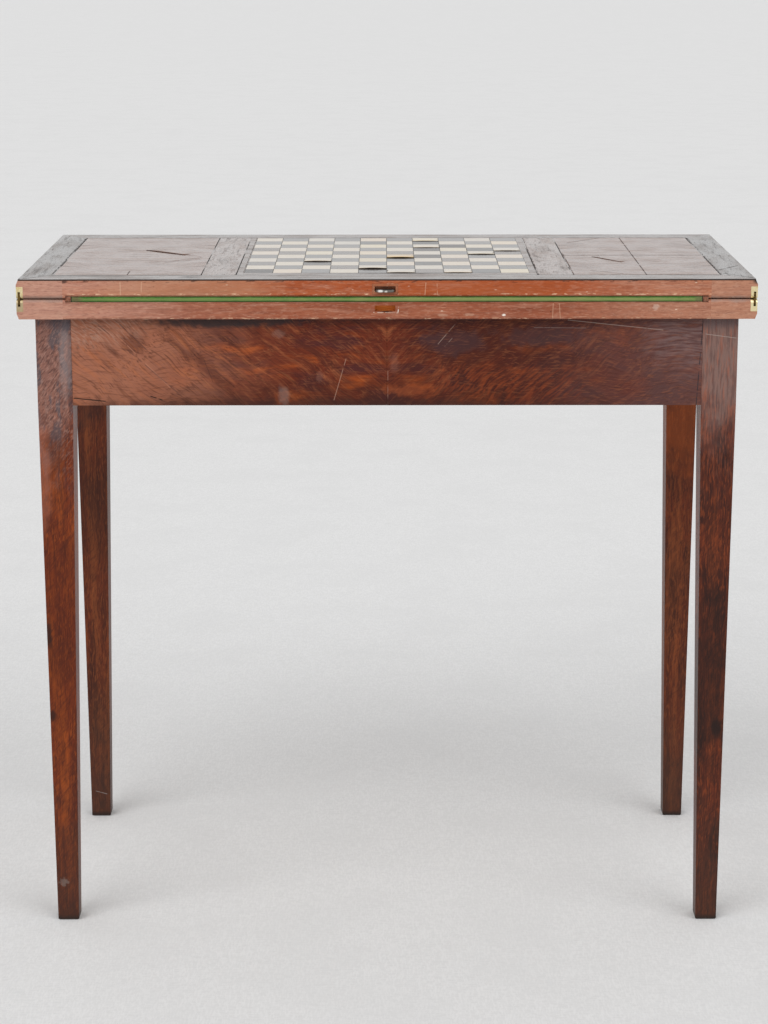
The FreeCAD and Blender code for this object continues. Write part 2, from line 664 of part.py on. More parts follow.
def swivel():
    """Plate, bolt, washer and nut, which all turn with the lower leaf."""
    washer_top = "(frame_high - cross_thick - slide_gap)"
    nut_top = f"({washer_top} - washer_thick)"
    bolt_low = f"({nut_top} - nut_high - bolt_end)"
    bolt_long = f"{LOW_UNDER} + swivel_thick - {bolt_low}"
    bolt = rod("swivel_bolt", (0, 0, 1), (TURN, TURN, bolt_low), "bolt_radius", bolt_long)

    def bored(name, blank, low, high):
        at = (TURN, TURN, f"{low} - past")
        hole = rod(f"{name}_bore", (0, 0, 1), at, "bolt_radius + glue_clear", f"{high} - {low} + 2 * past")
        return cut(name, blank, [hole])

    holes = swivel_screws("plate_hole", screw_room, "glue_clear")
    drilled = cut("swivel_plate_drilled", swivel_square("swivel_plate_blank"), holes)
    plate = bored("swivel_plate", drilled, LOW_UNDER, f"({LOW_UNDER} + swivel_thick)")
    disc = rod("washer_disc", (0, 0, 1), (TURN, TURN, nut_top), "washer_radius", "washer_thick")
    washer = bored("swivel_washer", disc, nut_top, washer_top)
    ring = [(1, 0), (0.5, 1), (-0.5, 1), (-1, 0), (-0.5, -1), (0.5, -1)]
    points = [(f"{TURN} + {u} * nut_across / sqrt(3)", f"{TURN} + {v} * nut_across / 2") for u, v in ring]
    nut_low = f"({nut_top} - nut_high)"
    nut = bored("swivel_nut", sheet_piece("nut_hexagon", points, nut_low, "nut_high"), nut_low, nut_top)
    return [plate, bolt, washer, nut, group("swivel_screws", swivel_screws("swivel_screw", screw, "0"))]


def stop_peg(name, ease):
    """The peg under the lower leaf that meets the long rails at both ends of the swivel."""
    at = (STOP, f"0 - {STOP}", f"{LOW_UNDER} - stop_out")
    return rod(name, (0, 0, 1), at, f"stop_radius + {ease}", "stop_out + stop_in")


def lower_leaf():
    """The leaf that stays on the frame."""
    mate_z = (f"{MID} - mate_drop - mate_high / 2", f"{MID} - mate_drop + mate_high / 2")
    tools = [
        arris_cutter("lower_arris", LOW_PIN, LOW_FACE, True),
        recess_cutter("lower_recess", LOW_PIN, LOW_FACE, True),
        box("lower_mortise", SLOT_X, (f"{EDGE} - past", f"{EDGE} + mate_deep"), mate_z),
        swivel_square("swivel_seat"),
        stop_peg("stop_hole", "glue_clear"),
    ]
    tools += swivel_screws("core_hole", screw_room, "glue_clear")
    core = cut("lower_core", core_blank("lower_core", LOW_UNDER, LOW_FACE), tools)
    made = [core] + leaf_clamps("lower", False) + [baize("lower", False)] + leaf_metal("lower", False)
    return made + swivel() + [stop_peg("stop_peg", "0")]


def align_tongue():
    """The steel tongue, its outer corners rounded."""
    body = new_body("align_tongue")
    left, right = TONGUE_X
    points = [(left, f"{EDGE} - align_out"), (right, f"{EDGE} - align_out")]
    points += [(right, f"{EDGE} + align_in"), (left, f"{EDGE} + align_in")]
    plan = outline(body, "align_plan", "XY_Plane", points, TONGUE_Z[0])
    bar = pad(body, "align_bar", plan, "align_thick")
    doc.recompute()
    tip = value(f"{EDGE} - align_out")
    corners = []
    for number, edge in enumerate(bar.Shape.Edges, start=1):
        upright = abs(edge.BoundBox.ZLength - value("align_thick")) < SAME_PLACE
        if upright and abs(edge.BoundBox.YMin - tip) < SAME_PLACE:
            corners.append(f"Edge{number}")
    rounding = body.newObject("PartDesign::Fillet", "align_corners")
    rounding.Base = (bar, corners)
    bind(rounding, Radius="align_round")
    body.Tip = rounding
    return body


def align_block():
    """The hardwood block that holds the tongue, let into the hinge edge."""
    solid = box("align_solid", BLOCK_X, (EDGE, f"{EDGE} + block_deep"), BLOCK_Z)
    mouth_z = (TONGUE_Z[0], f"{TONGUE_Z[0]} + slot_high")
    mouth = box("align_mouth", SLOT_X, (f"{EDGE} - past", f"{EDGE} + slot_deep"), mouth_z)
    seat = box("align_seat", TONGUE_X, (f"{EDGE} - past", f"{EDGE} + align_in"), TONGUE_Z)
    return cut("align_block", solid, [mouth, seat])


# ---------------------------------------------------------------- inlay of the upper face

def inlay_box(name, x, y):
    """One piece of the inlay with a straight plan."""
    return box(name, x, y, (INLAY, TOP))


def borders():
    """Four mitred borders."""
    out_x, in_x = "(top_long / 2 - ease_in)", f"({FIELD_X} + {LINE})"
    out_y, in_y = "(top_deep / 2)", f"({FIELD_Y} + {LINE})"
    made = []
    for end, sign in ENDS:
        points = [(f"0 - {out_x}", f"{sign} * {out_y}"), (out_x, f"{sign} * {out_y}")]
        points += [(in_x, f"{sign} * {in_y}"), (f"0 - {in_x}", f"{sign} * {in_y}")]
        made.append(sheet_piece(f"border_{end}", points, INLAY, "inlay_thick"))
    for side, sign in SIDES:
        points = [(f"{sign} * {out_x}", f"0 - {out_y}"), (f"{sign} * {out_x}", out_y)]
        points += [(f"{sign} * {in_x}", in_y), (f"{sign} * {in_x}", f"0 - {in_y}")]
        made.append(sheet_piece(f"border_{side}", points, INLAY, "inlay_thick"))
    return made


def stringing():
    """Dark lines round the field and across it."""
    made = []
    for sign in (-1, 1):
        across = side_of(sign, f"{FIELD_Y} - {LINE}", f"{FIELD_Y} + {LINE}")
        made.append(inlay_box("long_line", (f"{LINE} - {FIELD_X}", f"{FIELD_X} - {LINE}"), across))
        outer = side_of(sign, f"{FIELD_X} - {LINE}", f"{FIELD_X} + {LINE}")
        made.append(inlay_box("end_line", outer, (f"0 - {FIELD_Y} - {LINE}", f"{FIELD_Y} + {LINE}")))
        for place in (BAND_X, STRIP_X):
            inner = side_of(sign, f"{place} - {LINE}", f"{place} + {LINE}")
            made.append(inlay_box("cross_line", inner, (f"{LINE} - {FIELD_Y}", f"{FIELD_Y} - {LINE}")))
    return group("stringing", made)


def panels():
    """A panel at each end, quarter-matched from four sheets."""
    near, far = f"({STRIP_X} + {LINE})", f"({FIELD_X} - {LINE})"
    middle = f"(({near} + {far}) / 2)"
    made = []
    for side, sign in SIDES:
        sheets = []
        for low, high in ((near, middle), (middle, far)):
            for across in (-1, 1):
                span_y = side_of(across, "0", f"{FIELD_Y} - {LINE}")
                sheets.append(inlay_box(f"panel_sheet_{side}", side_of(sign, low, high), span_y))
        made.append(group(f"panel_{side}", sheets))
    return made


def strips_and_bands():
    """Cross-grained strips and the bands that frame the board."""
    full_y = (f"{LINE} - {FIELD_Y}", f"{FIELD_Y} - {LINE}")
    strips = []
    bands = []
    for side, sign in SIDES:
        strip_x = side_of(sign, f"{BAND_X} + {LINE}", f"{STRIP_X} - {LINE}")
        strips.append(inlay_box(f"strip_{side}", strip_x, full_y))
        bands.append(inlay_box(f"band_{side}", side_of(sign, BOARD_X, f"{BAND_X} - {LINE}"), full_y))
    across = (f"0 - {BOARD_X}", BOARD_X)
    bands.append(inlay_box("band_front", across, (f"{LINE} - {FIELD_Y}", BOARD_FRONT)))
    bands.append(inlay_box("band_rear", across, (BOARD_REAR, f"{FIELD_Y} - {LINE}")))
    return [group("cross_strips", strips), group("board_bands", bands)]


def board():
    """The light and the dark squares; the rear row starts light at the left."""
    count = int(value("squares"))
    colours = {"light": [], "dark": []}
    for column in range(count):
        for line in range(count):
            colour = "dark" if (column + count - line) % 2 == 0 else "light"
            spans = []
            for low in (f"{column} * {PITCH} - {BOARD_X}", f"{BOARD_FRONT} + {line} * {PITCH}"):
                spans.append((f"{low} + square_joint / 2", f"{low} + {PITCH} - square_joint / 2"))
            colours[colour].append(inlay_box(f"{colour}_square_{column}_{line}", *spans))
    return [group(f"{colour}_squares", pieces) for colour, pieces in colours.items()]


def upper_leaf():
    """The leaf that opens, with the inlay on its outer face."""
    tools = [
        arris_cutter("upper_arris", UP_PIN, UP_FACE, False),
        recess_cutter("upper_recess", UP_PIN, UP_FACE, False),
        box("align_room", BLOCK_X, (f"{EDGE} - past", f"{EDGE} + block_deep"), BLOCK_Z),
    ]
    core = cut("upper_core", core_blank("upper_core", UP_FACE, INLAY), tools)
    made = [core] + leaf_clamps("upper", True) + [baize("upper", True)] + leaf_metal("upper", True)
    made += [align_block(), align_tongue()]
    made += borders() + [stringing()] + panels() + strips_and_bands() + board()
    return made


# ---------------------------------------------------------------- fold

def fold_solid(name, span_x, radius, proud):
    """Cloth bulging out of the groove between the rounded arrises."""
    half_high = "(pivot_drop + leaf_gap / 2 - cloth_clear)"
    length = f"({span_x[1]}) - ({span_x[0]})"
    middle = (span_x[0], f"{EDGE} - {proud} + {radius}", MID)
    bulge = rod(f"{name}_bulge", (1, 0, 0), middle, radius, length)
    span_y = (f"{EDGE} - 2 * past", PIN_Y)
    shape = doc.addObject("Part::Common", f"{name}_roll")
    shape.Base = bulge
    shape.Tool = box(f"{name}_keep", span_x, span_y, (f"{MID} - {half_high}", f"{MID} + {half_high}"))
    clear = "pivot_drop - recess + cloth_clear"
    bars = []
    for level in (LOW_PIN, UP_PIN):
        start = (f"{span_x[0]} - past", PIN_Y, level)
        bars.append(rod(f"{name}_bar", (1, 0, 0), start, clear, f"{length} + 2 * past"))
    return cut(name, shape, bars)


def fold():
    """The roll of baize between the leaves, and the leather tapes at its ends."""
    tape_near = f"({CLOTH_X} - tape_wide)"
    roll_end = f"({tape_near} - cloth_clear)"
    roll = fold_solid("fold_baize", (f"0 - {roll_end}", roll_end), "fold_radius", "fold_proud")
    tapes = []
    for side, sign in SIDES:
        span_x = side_of(sign, tape_near, f"{CLOTH_X} - cloth_clear")
        tapes.append(fold_solid(f"fold_tape_{side}", span_x, "tape_radius", "tape_proud"))
    return [roll, group("fold_tapes", tapes)]


def check(things):
    """Stops if any object failed or any piece has no sound shape."""
    for thing in doc.Objects:
        if "Invalid" in thing.State or "Error" in thing.State:
            raise RuntimeError(f"{thing.Name} failed: {thing.State}")
    for thing in things:
        if thing.Shape.isNull() or not thing.Shape.isValid() or not thing.Shape.Solids:
            raise RuntimeError(f"{thing.Label} has no sound shape")


def main():
    """Builds the table and writes one STEP file per piece."""
    pieces = frame() + lower_leaf() + [link(f"hinge_link_{side}", along) for side, along in SIDES]
    pieces += fold() + upper_leaf()
    for piece in pieces:
        piece.Label = piece.Name
    doc.recompute()
    check(pieces)
    os.makedirs("parts", exist_ok=True)
    for piece in pieces:
        piece.Shape.exportStep(f"parts/{piece.Label}.step")
        print(f"{piece.Label}: {len(piece.Shape.Solids)} solids, {piece.Shape.Volume:.0f} mm3")


main()
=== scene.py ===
"""Dresses the folding games table: woods, inlay, brass, iron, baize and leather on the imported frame.

The model's frame is in metres: +Z up, +X along the table, -Y the side of the hinge edge. Sizes here are in
mm, and in metres only in the studio.
"""
import logging
import math
from abc import ABC, abstractmethod
from collections.abc import Iterable, Mapping
from dataclasses import dataclass
from enum import Enum
from typing import Any

import bmesh
import bpy
from mathutils import Euler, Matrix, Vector, noise


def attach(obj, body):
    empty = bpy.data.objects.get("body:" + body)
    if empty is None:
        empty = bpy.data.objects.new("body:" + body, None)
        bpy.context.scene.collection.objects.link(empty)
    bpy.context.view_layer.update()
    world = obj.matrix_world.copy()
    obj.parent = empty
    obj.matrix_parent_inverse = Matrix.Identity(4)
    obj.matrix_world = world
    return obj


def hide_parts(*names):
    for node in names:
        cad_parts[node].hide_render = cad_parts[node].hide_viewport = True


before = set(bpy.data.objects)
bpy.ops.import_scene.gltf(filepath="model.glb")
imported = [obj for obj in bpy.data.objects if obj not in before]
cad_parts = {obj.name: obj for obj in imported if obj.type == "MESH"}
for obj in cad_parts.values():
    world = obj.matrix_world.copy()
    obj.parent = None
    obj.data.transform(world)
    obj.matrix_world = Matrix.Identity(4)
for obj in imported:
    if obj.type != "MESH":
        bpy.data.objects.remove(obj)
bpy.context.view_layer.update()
MM = 0.001
LOG = logging.getLogger("games_table")

Point = tuple[float, float]
Numbers = tuple[float, float, float]
Row = tuple[Any, ...]
Node = bpy.types.Node
Tree = bpy.types.NodeTree
Socket = bpy.types.NodeSocket

# planes of the model: the front of the apron and the legs, the hinge edge, the joint of the leaves, and the
# upper face
APRON_Y = -189.0
EDGE_Y = -200.0
JOINT_Z = 720.3
TOP_Z = 742.0
# the squares' pitch and the front left corner of the board
BOARD_PITCH = 31.3
BOARD_CORNER = (-156.5, -149.0)


# ---------------------------------------------------------------- colours and nodes

def linear(code: str) -> tuple[float, float, float, float]:
    """Turns an sRGB hex colour into linear red, green, blue and alpha.

    Args:
        code: six hex digits after a hash sign.

    Returns:
        The four channels as Blender's sockets take them.
    """
    channels = (int(code[start:start + 2], 16) / 255 for start in (1, 3, 5))
    return (*(c / 12.92 if c <= 0.04045 else ((c + 0.055) / 1.055) ** 2.4 for c in channels), 1.0)


def add(tree: Tree, kind: str, values: Mapping[Any, Any] | None = None, **settings: Any) -> Node:
    """Adds a node with its settings and links.

    Args:
        tree: the node tree that gets the node.
        kind: the node's type name after ShaderNode.
        values: for each socket, by name or number, a plain value, or the output or node that feeds it.
        settings: properties of the node itself.

    Returns:
        The new node.
    """
    node = tree.nodes.new("ShaderNode" + kind)
    for name, setting in settings.items():
        setattr(node, name, setting)
    for socket, value in (values or {}).items():
        if isinstance(value, Node):
            value = value.outputs[0]
        if isinstance(value, Socket):
            tree.links.new(value, node.inputs[socket])
        else:
            node.inputs[socket].default_value = value
    return node


class Turn(Enum):
    """Which way a pattern's length runs, as Euler angles in degrees that bring X onto it."""

    ALONG = (0.0, 0.0, 0.0)
    ACROSS = (0.0, 0.0, 90.0)
    UPRIGHT = (0.0, 90.0, 0.0)
    FLAME = (0.0, -40.0, 0.0)
    SLANT = (0.0, -34.0, 0.0)
    CRACKLE = (0.0, -52.0, 0.0)
    SPREAD = (0.0, 0.0, -14.0)

    @property
    def radians(self) -> Numbers:
        """The same angles in radians."""
        return tuple(math.radians(angle) for angle in self.value)


class Axis(Enum):
    """A direction of the model's frame, as the number of its channel."""

    X = 0
    Y = 1
    Z = 2


# ---------------------------------------------------------------- layers of a finish

@dataclass(frozen=True)
class Layer(ABC):
    """Something that shows in a surface: a tint, and where it lies.

    Attributes:
        tint: its colour.
        strength: how much of that colour covers what lies under it.
        rough: what it adds to the roughness.
        depth: how far it stands out, in mm; below zero it is sunk.
        dull: how much of the polish it takes away.
        zone: another layer, outside whose mask this one doesn't show; the zone's own colour isn't used.
    """

    tint: str = "#000000"
    strength: float = 1.0
    rough: float = 0.0
    depth: float = 0.0
    dull: float = 0.0
    zone: "Layer | None" = None

    @abstractmethod
    def mask(self, tree: Tree, place: Socket, grain: Socket) -> Node:
        """Builds where the layer lies.

        Args:
            tree: the material's tree.
            place: the position in mm.
            grain: the same position, folded and swayed as the wood's grain is.

        Returns:
            A node whose first output goes from 0, absent, to 1, present.
        """


@dataclass(frozen=True)
class Streaks(Layer):
    """Stretched noise: figure, fibres, pores, ripple, smears or thread.

    Attributes:
        turn: the way they run.
        size: their length and width in mm.
        span: the noise's value where they begin and where they are full.
        detail: of the noise.
        seed: sets one set of streaks off from the next.
    """

    turn: Turn = Turn.ALONG
    size: tuple[float, float] = (60.0, 6.0)
    span: tuple[float, float] = (0.45, 0.6)
    detail: float = 2.0
    seed: float = 0.0

    def mask(self, tree: Tree, place: Socket, grain: Socket) -> Node:
        """Noise, drawn out along the turn.

        Args:
            tree: the material's tree.
            place: the position in mm.
            grain: the grain's position in mm.

        Returns:
            The node of the mask.
        """
        length, width = self.size
        seed_step = (37.0, 11.0, 5.0)
        turned = add(tree, "Mapping", {
            "Vector": grain, "Location": tuple(self.seed * step for step in seed_step),
            "Rotation": self.turn.radians, "Scale": (length, width, width),
        }, vector_type="TEXTURE")
        cloud = add(tree, "TexNoise", {
            "Vector": turned, "Scale": 1.0, "Detail": self.detail, "Roughness": 0.55,
        })
        return add(tree, "MapRange", {
            "Value": cloud, "From Min": self.span[0], "From Max": self.span[1],
        }, interpolation_type="SMOOTHSTEP")


@dataclass(frozen=True)
class Patch(Layer):
    """A soft-edged stain, worn place or bloom with a ragged outline.

    Attributes:
        middle: where it lies.
        reach: how far it goes from there along each axis.
        ragged: how much its outline wanders, as a share of its reach.
        grit: the size of the tatters in mm.
    """

    middle: Numbers = (0.0, 0.0, 0.0)
    reach: Numbers = (50.0, 50.0, 50.0)
    ragged: float = 0.5
    grit: float = 14.0

    def mask(self, tree: Tree, place: Socket, grain: Socket) -> Node:
        """A smooth fall from the core to the reach, cut up by noise.

        Args:
            tree: the material's tree.
            place: the position in mm.
            grain: the grain's position in mm.

        Returns:
            The node of the mask.
        """
        core = 0.35
        off = add(tree, "VectorMath", {0: place, 1: self.middle}, operation="SUBTRACT")
        scaled = add(tree, "VectorMath", {0: off, 1: self.reach}, operation="DIVIDE")
        far = add(tree, "VectorMath", {0: scaled}, operation="LENGTH").outputs["Value"]
        cloud = add(tree, "TexNoise", {"Vector": grain, "Scale": 1 / self.grit, "Detail": 4.0})
        torn = add(tree, "Math", {0: cloud, 1: self.ragged * 2, 2: far}, operation="MULTIPLY_ADD")
        return add(tree, "MapRange", {
            "Value": torn, "From Min": 1.0 + self.ragged, "From Max": core + self.ragged,
        }, interpolation_type="SMOOTHSTEP")


@dataclass(frozen=True)
class Fade(Layer):
    """A band that grows along one axis, such as wear at an arris or dirt at a foot.

    Attributes:
        axis: along which it grows.
        span: where it begins and where it is full.
        ragged: how much its border wanders, as a share of its span.
        grit: the size of the border's tatters in mm.
    """

    axis: Axis = Axis.Z
    span: tuple[float, float] = (0.0, 1.0)
    ragged: float = 0.3
    grit: float = 9.0

    def mask(self, tree: Tree, place: Socket, grain: Socket) -> Node:
        """A rise over the span, its border shifted by noise.

        Args:
            tree: the material's tree.
            place: the position in mm.
            grain: the grain's position in mm.

        Returns:
            The node of the mask.
        """
        along = add(tree, "SeparateXYZ", {0: place}).outputs[self.axis.value]
        begin, full = self.span
        rise = add(tree, "MapRange", {"Value": along, "From Min": begin, "From Max": full}, clamp=False)
        cloud = add(tree, "TexNoise", {"Vector": grain, "Scale": 1 / self.grit, "Detail": 3.0})
        shift = add(tree, "Math", {0: cloud, 1: -2.0 * self.ragged, 2: rise}, operation="MULTIPLY_ADD")
        return add(tree, "MapRange", {
            "Value": shift, "From Min": -self.ragged, "From Max": 1.0 - self.ragged,
        }, interpolation_type="SMOOTHSTEP")


@dataclass(frozen=True)
class Scratch(Layer):
    """A straight mark between two points: a scratch, a crack or a drawn line.

    Attributes:
        start: one end.
        end: the other.
        width: in mm.
        broken: the share of it that is missing, more or less.
    """

    start: Numbers = (0.0, 0.0, 0.0)
    end: Numbers = (1.0, 0.0, 0.0)
    width: float = 0.8
    broken: float = 0.4

    def mask(self, tree: Tree, place: Socket, grain: Socket) -> Node:
        """Near enough to the line, where noise lets it through.

        Args:
            tree: the material's tree.
            place: the position in mm.
            grain: not used.

        Returns:
            The node of the mask.
        """
        full, soft, gaps_per_mm = 0.15 * self.width, 0.06, 0.14
        run = Vector(self.end) - Vector(self.start)
        off = add(tree, "VectorMath", {0: place, 1: self.start}, operation="SUBTRACT")
        along = {0: off, 1: run / run.length_squared}
        share = add(tree, "VectorMath", along, operation="DOT_PRODUCT").outputs["Value"]
        kept = add(tree, "Math", {0: share, 1: 0.0}, operation="ADD", use_clamp=True)
        foot = add(tree, "VectorMath", {0: run, "Scale": kept}, operation="SCALE")
        away = add(tree, "VectorMath", {0: off, 1: foot}, operation="DISTANCE").outputs["Value"]
        near = add(tree, "MapRange", {
            "Value": away, "From Min": self.width * 0.5, "From Max": full,
        }, interpolation_type="SMOOTHSTEP")
        cloud = add(tree, "TexNoise", {"Vector": place, "Scale": gaps_per_mm, "Detail": 3.0})
        through = add(tree, "MapRange", {
            "Value": cloud, "From Min": self.broken - soft, "From Max": self.broken + soft,
        })
        return add(tree, "Math", {0: near, 1: through}, operation="MULTIPLY")


@dataclass(frozen=True)
class Specks(Layer):
    """Scattered dots: dings, pits, dirt or rust.

    Attributes:
        size: how far a dot reaches, in mm.
        pitch: of the loose lattice that they lie on.
        share: of the lattice's cells that have a dot.
        stretch: of the lattice along each axis.
    """

    size: float = 1.0
    pitch: float = 12.0
    share: float = 0.5
    stretch: Numbers = (1.0, 1.0, 1.0)

    def mask(self, tree: Tree, place: Socket, grain: Socket) -> Node:
        """Round cells of the given share of the lattice.

        Args:
            tree: the material's tree.
            place: the position in mm.
            grain: not used.

        Returns:
            The node of the mask.
        """
        full = 0.4 * self.size / self.pitch
        scale = tuple(self.pitch * stretch for stretch in self.stretch)
        drawn = add(tree, "Mapping", {"Vector": place, "Scale": scale}, vector_type="TEXTURE")
        cells = add(tree, "TexVoronoi", {"Vector": drawn, "Scale": 1.0})
        dot = add(tree, "MapRange", {
            "Value": cells.outputs["Distance"], "From Min": self.size / self.pitch, "From Max": full,
        }, interpolation_type="SMOOTHSTEP")
        chance = add(tree, "SeparateColor", {0: cells.outputs["Color"]})
        chosen = add(tree, "Math", {0: chance, 1: self.share}, operation="LESS_THAN")
        return add(tree, "Math", {0: dot, 1: chosen}, operation="MULTIPLY")


def board_cell(tree: Tree, place: Socket) -> Node:
    """The position counted in squares from the board's corner.

    Args:
        tree: the material's tree.
        place: the position in mm.

    Returns:
        A node with that position as its output; a cell is so tall that the height never counts.
    """
    return add(tree, "Mapping", {
        "Vector": place, "Location": (*BOARD_CORNER, 700.0), "Scale": (BOARD_PITCH, BOARD_PITCH, 500.0),
    }, vector_type="TEXTURE")


@dataclass(frozen=True)
class Squares(Layer):
    """Whole squares of the board that differ from their neighbours.

    Attributes:
        share: of the squares that differ.
        seed: for another choice of squares.
        only: the column and row of the one square that differs, instead of a share.
    """

    share: float = 0.4
    seed: float = 0.0
    only: tuple[int, int] | None = None

    def mask(self, tree: Tree, place: Socket, grain: Socket) -> Node:
        """A steady random value for each square, up to the share that differs, or 1 in one square only.

        Args:
            tree: the material's tree.
            place: the position in mm.
            grain: not used.

        Returns:
            The node of the mask.
        """
        whole = add(tree, "VectorMath", {0: board_cell(tree, place)}, operation="FLOOR")
        if self.only is not None:
            chosen = (*self.only, 0.0)
            off = add(tree, "VectorMath", {0: whole, 1: chosen}, operation="DISTANCE").outputs["Value"]
            return add(tree, "Math", {0: off, 1: 0.5}, operation="LESS_THAN")
        mixed = add(tree, "VectorMath", {0: whole, 1: (self.seed, self.seed * 3, 0.5)}, operation="ADD")
        chance = add(tree, "TexWhiteNoise", {"Vector": mixed}, noise_dimensions="3D").outputs["Value"]
        return add(tree, "MapRange", {"Value": chance, "From Min": self.share, "From Max": self.share * 0.3})


@dataclass(frozen=True)
class SquareRims(Layer):
    """The edges of the board's squares, where glue and dirt have gathered.

    Attributes:
        width: in mm, of what gathers on either side of a joint.
    """

    width: float = 0.7

    def mask(self, tree: Tree, place: Socket, grain: Socket) -> Node:
        """Within about a width of the board's joints.

        Args:
            tree: the material's tree.
            place: the position in mm.
            grain: not used.

        Returns:
            The node of the mask.
        """
        share = self.width / BOARD_PITCH
        rest = add(tree, "VectorMath", {0: board_cell(tree, place)}, operation="FRACTION")
        middle = add(tree, "VectorMath", {0: rest, 1: (0.5, 0.5, 0.5)}, operation="SUBTRACT")
        size = add(tree, "VectorMath", {0: middle}, operation="ABSOLUTE")
        parts = add(tree, "SeparateXYZ", {0: size}).outputs
        outer = add(tree, "Math", {0: parts[0], 1: parts[1]}, operation="MAXIMUM")
        return add(tree, "MapRange", {
            "Value": outer, "From Min": 0.5 - 1.6 * share, "From Max": 0.5 - 0.6 * share,
        })


# ---------------------------------------------------------------- tables of layers

def streaks(turn: Turn, *rows: Row, **more: Any) -> tuple[Layer, ...]:
    """Streaks that run the same way.

    Args:
        turn: the way they run.
        rows: for each, its tint, strength, length, width, where it begins and is full, detail and seed.
        more: further fields that all of them have.

    Returns:
        The layers in order.
    """
    return tuple(
        Streaks(
            tint, strength, turn=turn, size=(length, width), span=(begin, full),
            detail=detail, seed=seed, **more,
        )
        for tint, strength, length, width, begin, full, detail, seed in rows
    )


def stains(y: float, deep: float, *rows: Row, **more: Any) -> tuple[Layer, ...]:
    """Patches at the same depth in the model.

    Args:
        y: where they lie.
        deep: how far they reach from there.
        rows: for each, its tint, strength, X, Z, reach along X and along Z, raggedness and grit.
        more: further fields that all of them have.

    Returns:
        The layers in order.
    """
    return tuple(
        Patch(tint, strength, middle=(x, y, z), reach=(wide, deep, high), ragged=ragged, grit=grit, **more)
        for tint, strength, x, z, wide, high, ragged, grit in rows
    )


def scratches(y: float, *rows: Row, **more: Any) -> tuple[Layer, ...]:
    """Scratches on one upright face.

    Args:
        y: of the face.
        rows: for each, its tint, strength, X and Z of either end, width, and how broken it is.
        more: further fields that all of them have.

    Returns:
        The layers in order.
    """
    return tuple(
        Scratch(tint, strength, start=(x, y, z), end=(x_end, y, z_end), width=width, broken=broken, **more)
        for tint, strength, x, z, x_end, z_end, width, broken in rows
    )


def dirty_joints(*rows: Row) -> tuple[Layer, ...]:
    """Joints of the upper face that have opened and filled with dirt.

    Args:
        rows: for each, X and Y of either end, width, how dark it is, and how much of it has stayed closed.

    Returns:
        The layers in order.
    """
    return tuple(
        Scratch(
            DIRT, strength, rough=0.5, dull=1.0, depth=-0.15,
            start=(x, y, TOP_Z), end=(x_end, y_end, TOP_Z), width=width, broken=broken,
        )
        for x, y, x_end, y_end, width, strength, broken in rows
    )


# ---------------------------------------------------------------- finishes

